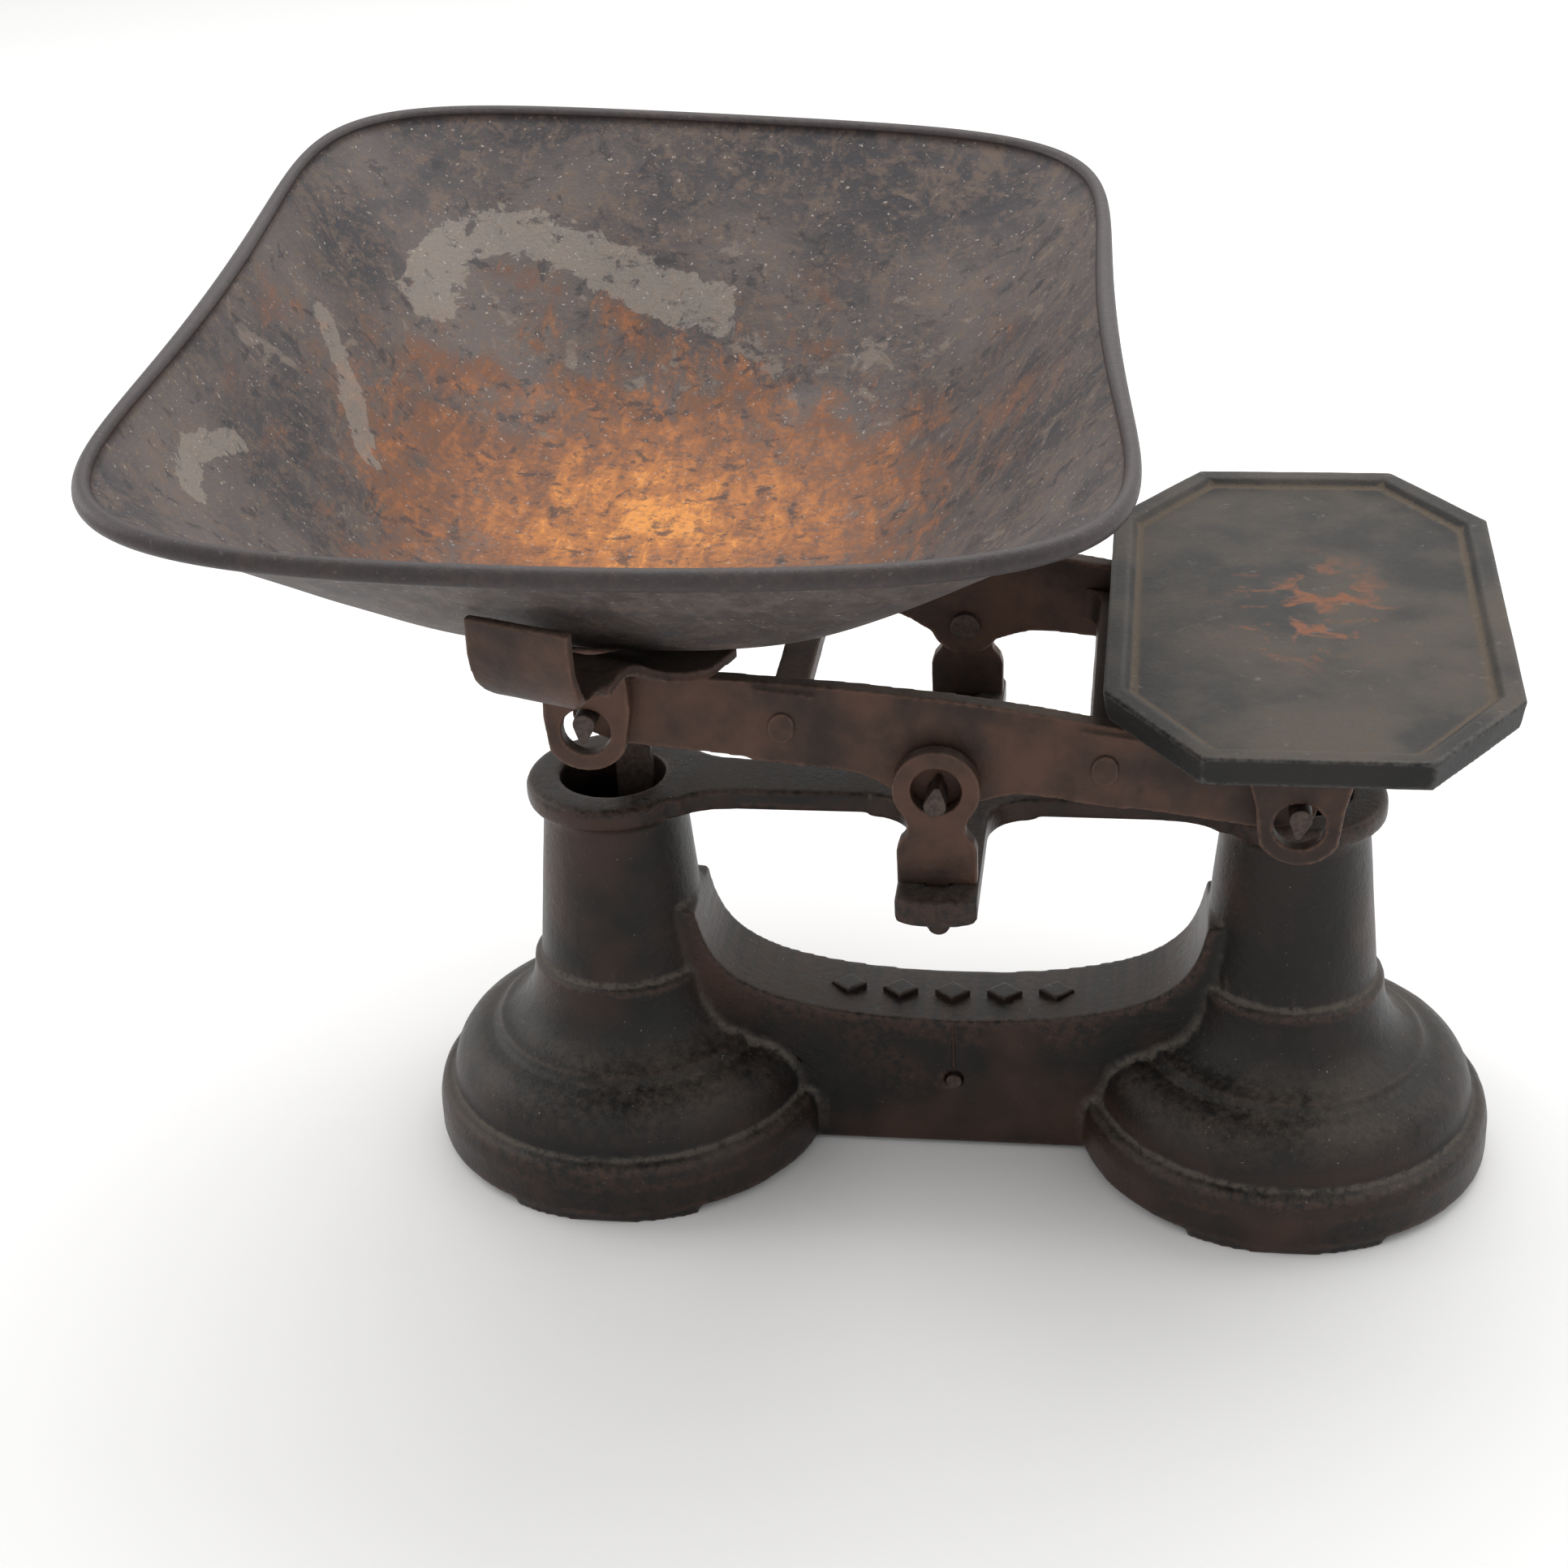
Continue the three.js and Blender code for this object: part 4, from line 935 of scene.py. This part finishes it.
def pan():
    """The dish with its rolled edge, gently dented, turned a little askew and set on its rim height.

    Attributes: bowl is the distance from the rusted middle, tin is 1 along the worn patches, inside
    tells the upper face from the lower, and rim marks the rolled edge."""
    around = 384
    rings = 1 - (1 - np.linspace(0.02, 0.985, 74)) ** 1.1
    bead = arc(0, 0, PAN_BEAD, PAN_BEAD, -118, 162, 22)
    s = np.concatenate([rings, np.ones(len(bead)), rings[::-1]])
    out = np.concatenate([0 * rings, bead[:, 0], 0 * rings])
    up = np.concatenate([0 * rings, bead[:, 1], 0 * rings])
    lift = np.concatenate([0 * rings, 0 * bead[:, 0], 0 * rings + PAN_SHEET])
    inside = np.concatenate([0 * rings, 0 * bead[:, 0] + 0.5, 0 * rings + 1])
    rim = np.concatenate([0 * rings, 0 * bead[:, 0] + 1, 0 * rings])
    a = np.arange(around) * 2 * math.pi / around
    grid = pan_points(s[:, None], a[None, :], out[:, None], up[:, None], lift[:, None])
    sheet = grid.reshape(-1, 3)
    dents = (lumps(sheet, 70, 71) * 0.5 + lumps(sheet, 28, 72) * 0.22) * (1 - np.repeat(s, around) ** 8)
    sheet[:, 2] += dents
    ends = np.array([[0, 0, -PAN_DEPTH], [0, 0, PAN_SHEET - PAN_DEPTH]])
    points = np.concatenate([sheet, ends])
    lean, tip, spin = np.radians(PAN_TURN)
    turn = (Matrix.Rotation(tip, 3, "Y") @ Matrix.Rotation(lean, 3, "X") @ Matrix.Rotation(spin, 3, "Z"))
    points = points @ np.array(turn).T + [PAN_X, 0, PAN_RIM_Z]
    k, i = np.meshgrid(np.arange(len(s) - 1), np.arange(around), indexing="ij")
    j = (i + 1) % around
    quads = np.stack([k * around + i, k * around + j, (k + 1) * around + j, (k + 1) * around + i], -1)
    last = (len(s) - 1) * around
    i = np.arange(around)
    j = (i + 1) % around
    centre = len(sheet)
    fans = np.stack([np.full(around, centre), j, i], 1).tolist()
    fans += np.stack([np.full(around, centre + 1), last + i, last + j], 1).tolist()
    thing = put("pan_dish", [(points, quads.reshape(-1, 4).tolist() + fans)])
    mesh = thing.data
    flat = np.concatenate([grid.reshape(-1, 3)[:, :2], ends[:, :2]])
    worn = np.hypot(*((flat - [-4, 16]) / [116, 110]).T)
    tin = np.zeros(len(flat))
    for wide, path in (
        (8.5, [[-78, 84], [-77, 100], [-66, 111], [-46, 114], [-27, 108], [3, 100]]),
        (3.6, [[-103, -78], [-106, -64], [-101, -45]]),
        (4, [[-98, 38], [-88, 21], [-79, -2]]),
    ):
        line = spline(path, 8)
        near = np.min(np.linalg.norm(flat[:, None] - line[None], axis=2), axis=1)
        tin = np.maximum(tin, np.exp(-(near / wide) ** 2))
    for key, value in (
        ("bowl", worn), ("tin", tin), ("inside", np.append(np.repeat(inside, around), [0, 1])),
        ("rim", np.append(np.repeat(rim, around), [0, 0])),
    ):
        mesh.attributes.new(key, "FLOAT", "POINT").data.foreach_set("value", value.astype(np.float32))
    mesh.polygons.foreach_set("use_smooth", np.ones(len(mesh.polygons), bool))
    finish_piece(thing, "pan", "pan_sheet", PAN, "pan")


bearings()
rails()
crossbars()
knife_pins()
cradle()
yoke()
weight_plate()
pan()

for node, finish in (
    ("check_pivot_pin", PIN), ("check_link", LINK), ("check_pin_pan", PIN), ("check_pin_weight", PIN),
    ("pan_leg", LINK), ("weight_leg", LINK), ("plate_bolt_front", PIN), ("plate_bolt_back", PIN),
):
    part = bpy.data.objects[node]
    part.data.materials.clear()
    part.data.materials.append(finish)


# ---- stage ----------------------------------------------------------------------------------------
def stage():
    """A pale floor, an even white surround and three soft lights."""
    size = 6
    mesh = bpy.data.meshes.new("floor")
    corners = [(-size, -size, 0), (size, -size, 0), (size, size, 0), (-size, size, 0)]
    mesh.from_pydata(corners, [], [(0, 1, 2, 3)])
    floor = bpy.data.objects.new("floor", mesh)
    bpy.context.scene.collection.objects.link(floor)
    f = Finish("floor", roughness=0.7, specular=0.2)
    f.shader.inputs["Base Color"].default_value = (0.86, 0.855, 0.85, 1)
    mesh.materials.append(f.material)
    world = bpy.data.worlds.new("studio")
    world.use_nodes = True
    background = world.node_tree.nodes["Background"]
    background.inputs[0].default_value = (1, 1, 1, 1)
    background.inputs[1].default_value = 0.92
    bpy.context.scene.world = world
    for name, place, size_m, power in (
        ("overhead", (0.1, 0.55, 1.3), 1.3, 11),
        ("left", (-1.2, 0.3, 0.7), 0.9, 5),
        ("right", (1.2, 0.4, 0.8), 0.8, 3),
    ):
        data = bpy.data.lights.new(name, "AREA")
        data.size = size_m
        data.energy = power
        light = bpy.data.objects.new(name, data)
        light.location = place
        light.rotation_mode = "QUATERNION"
        light.rotation_quaternion = (Vector((0, 0, 0.1)) - Vector(place)).to_track_quat("-Z", "Y")
        bpy.context.scene.collection.objects.link(light)
    bpy.context.scene.view_settings.view_transform = "Standard"


stage()
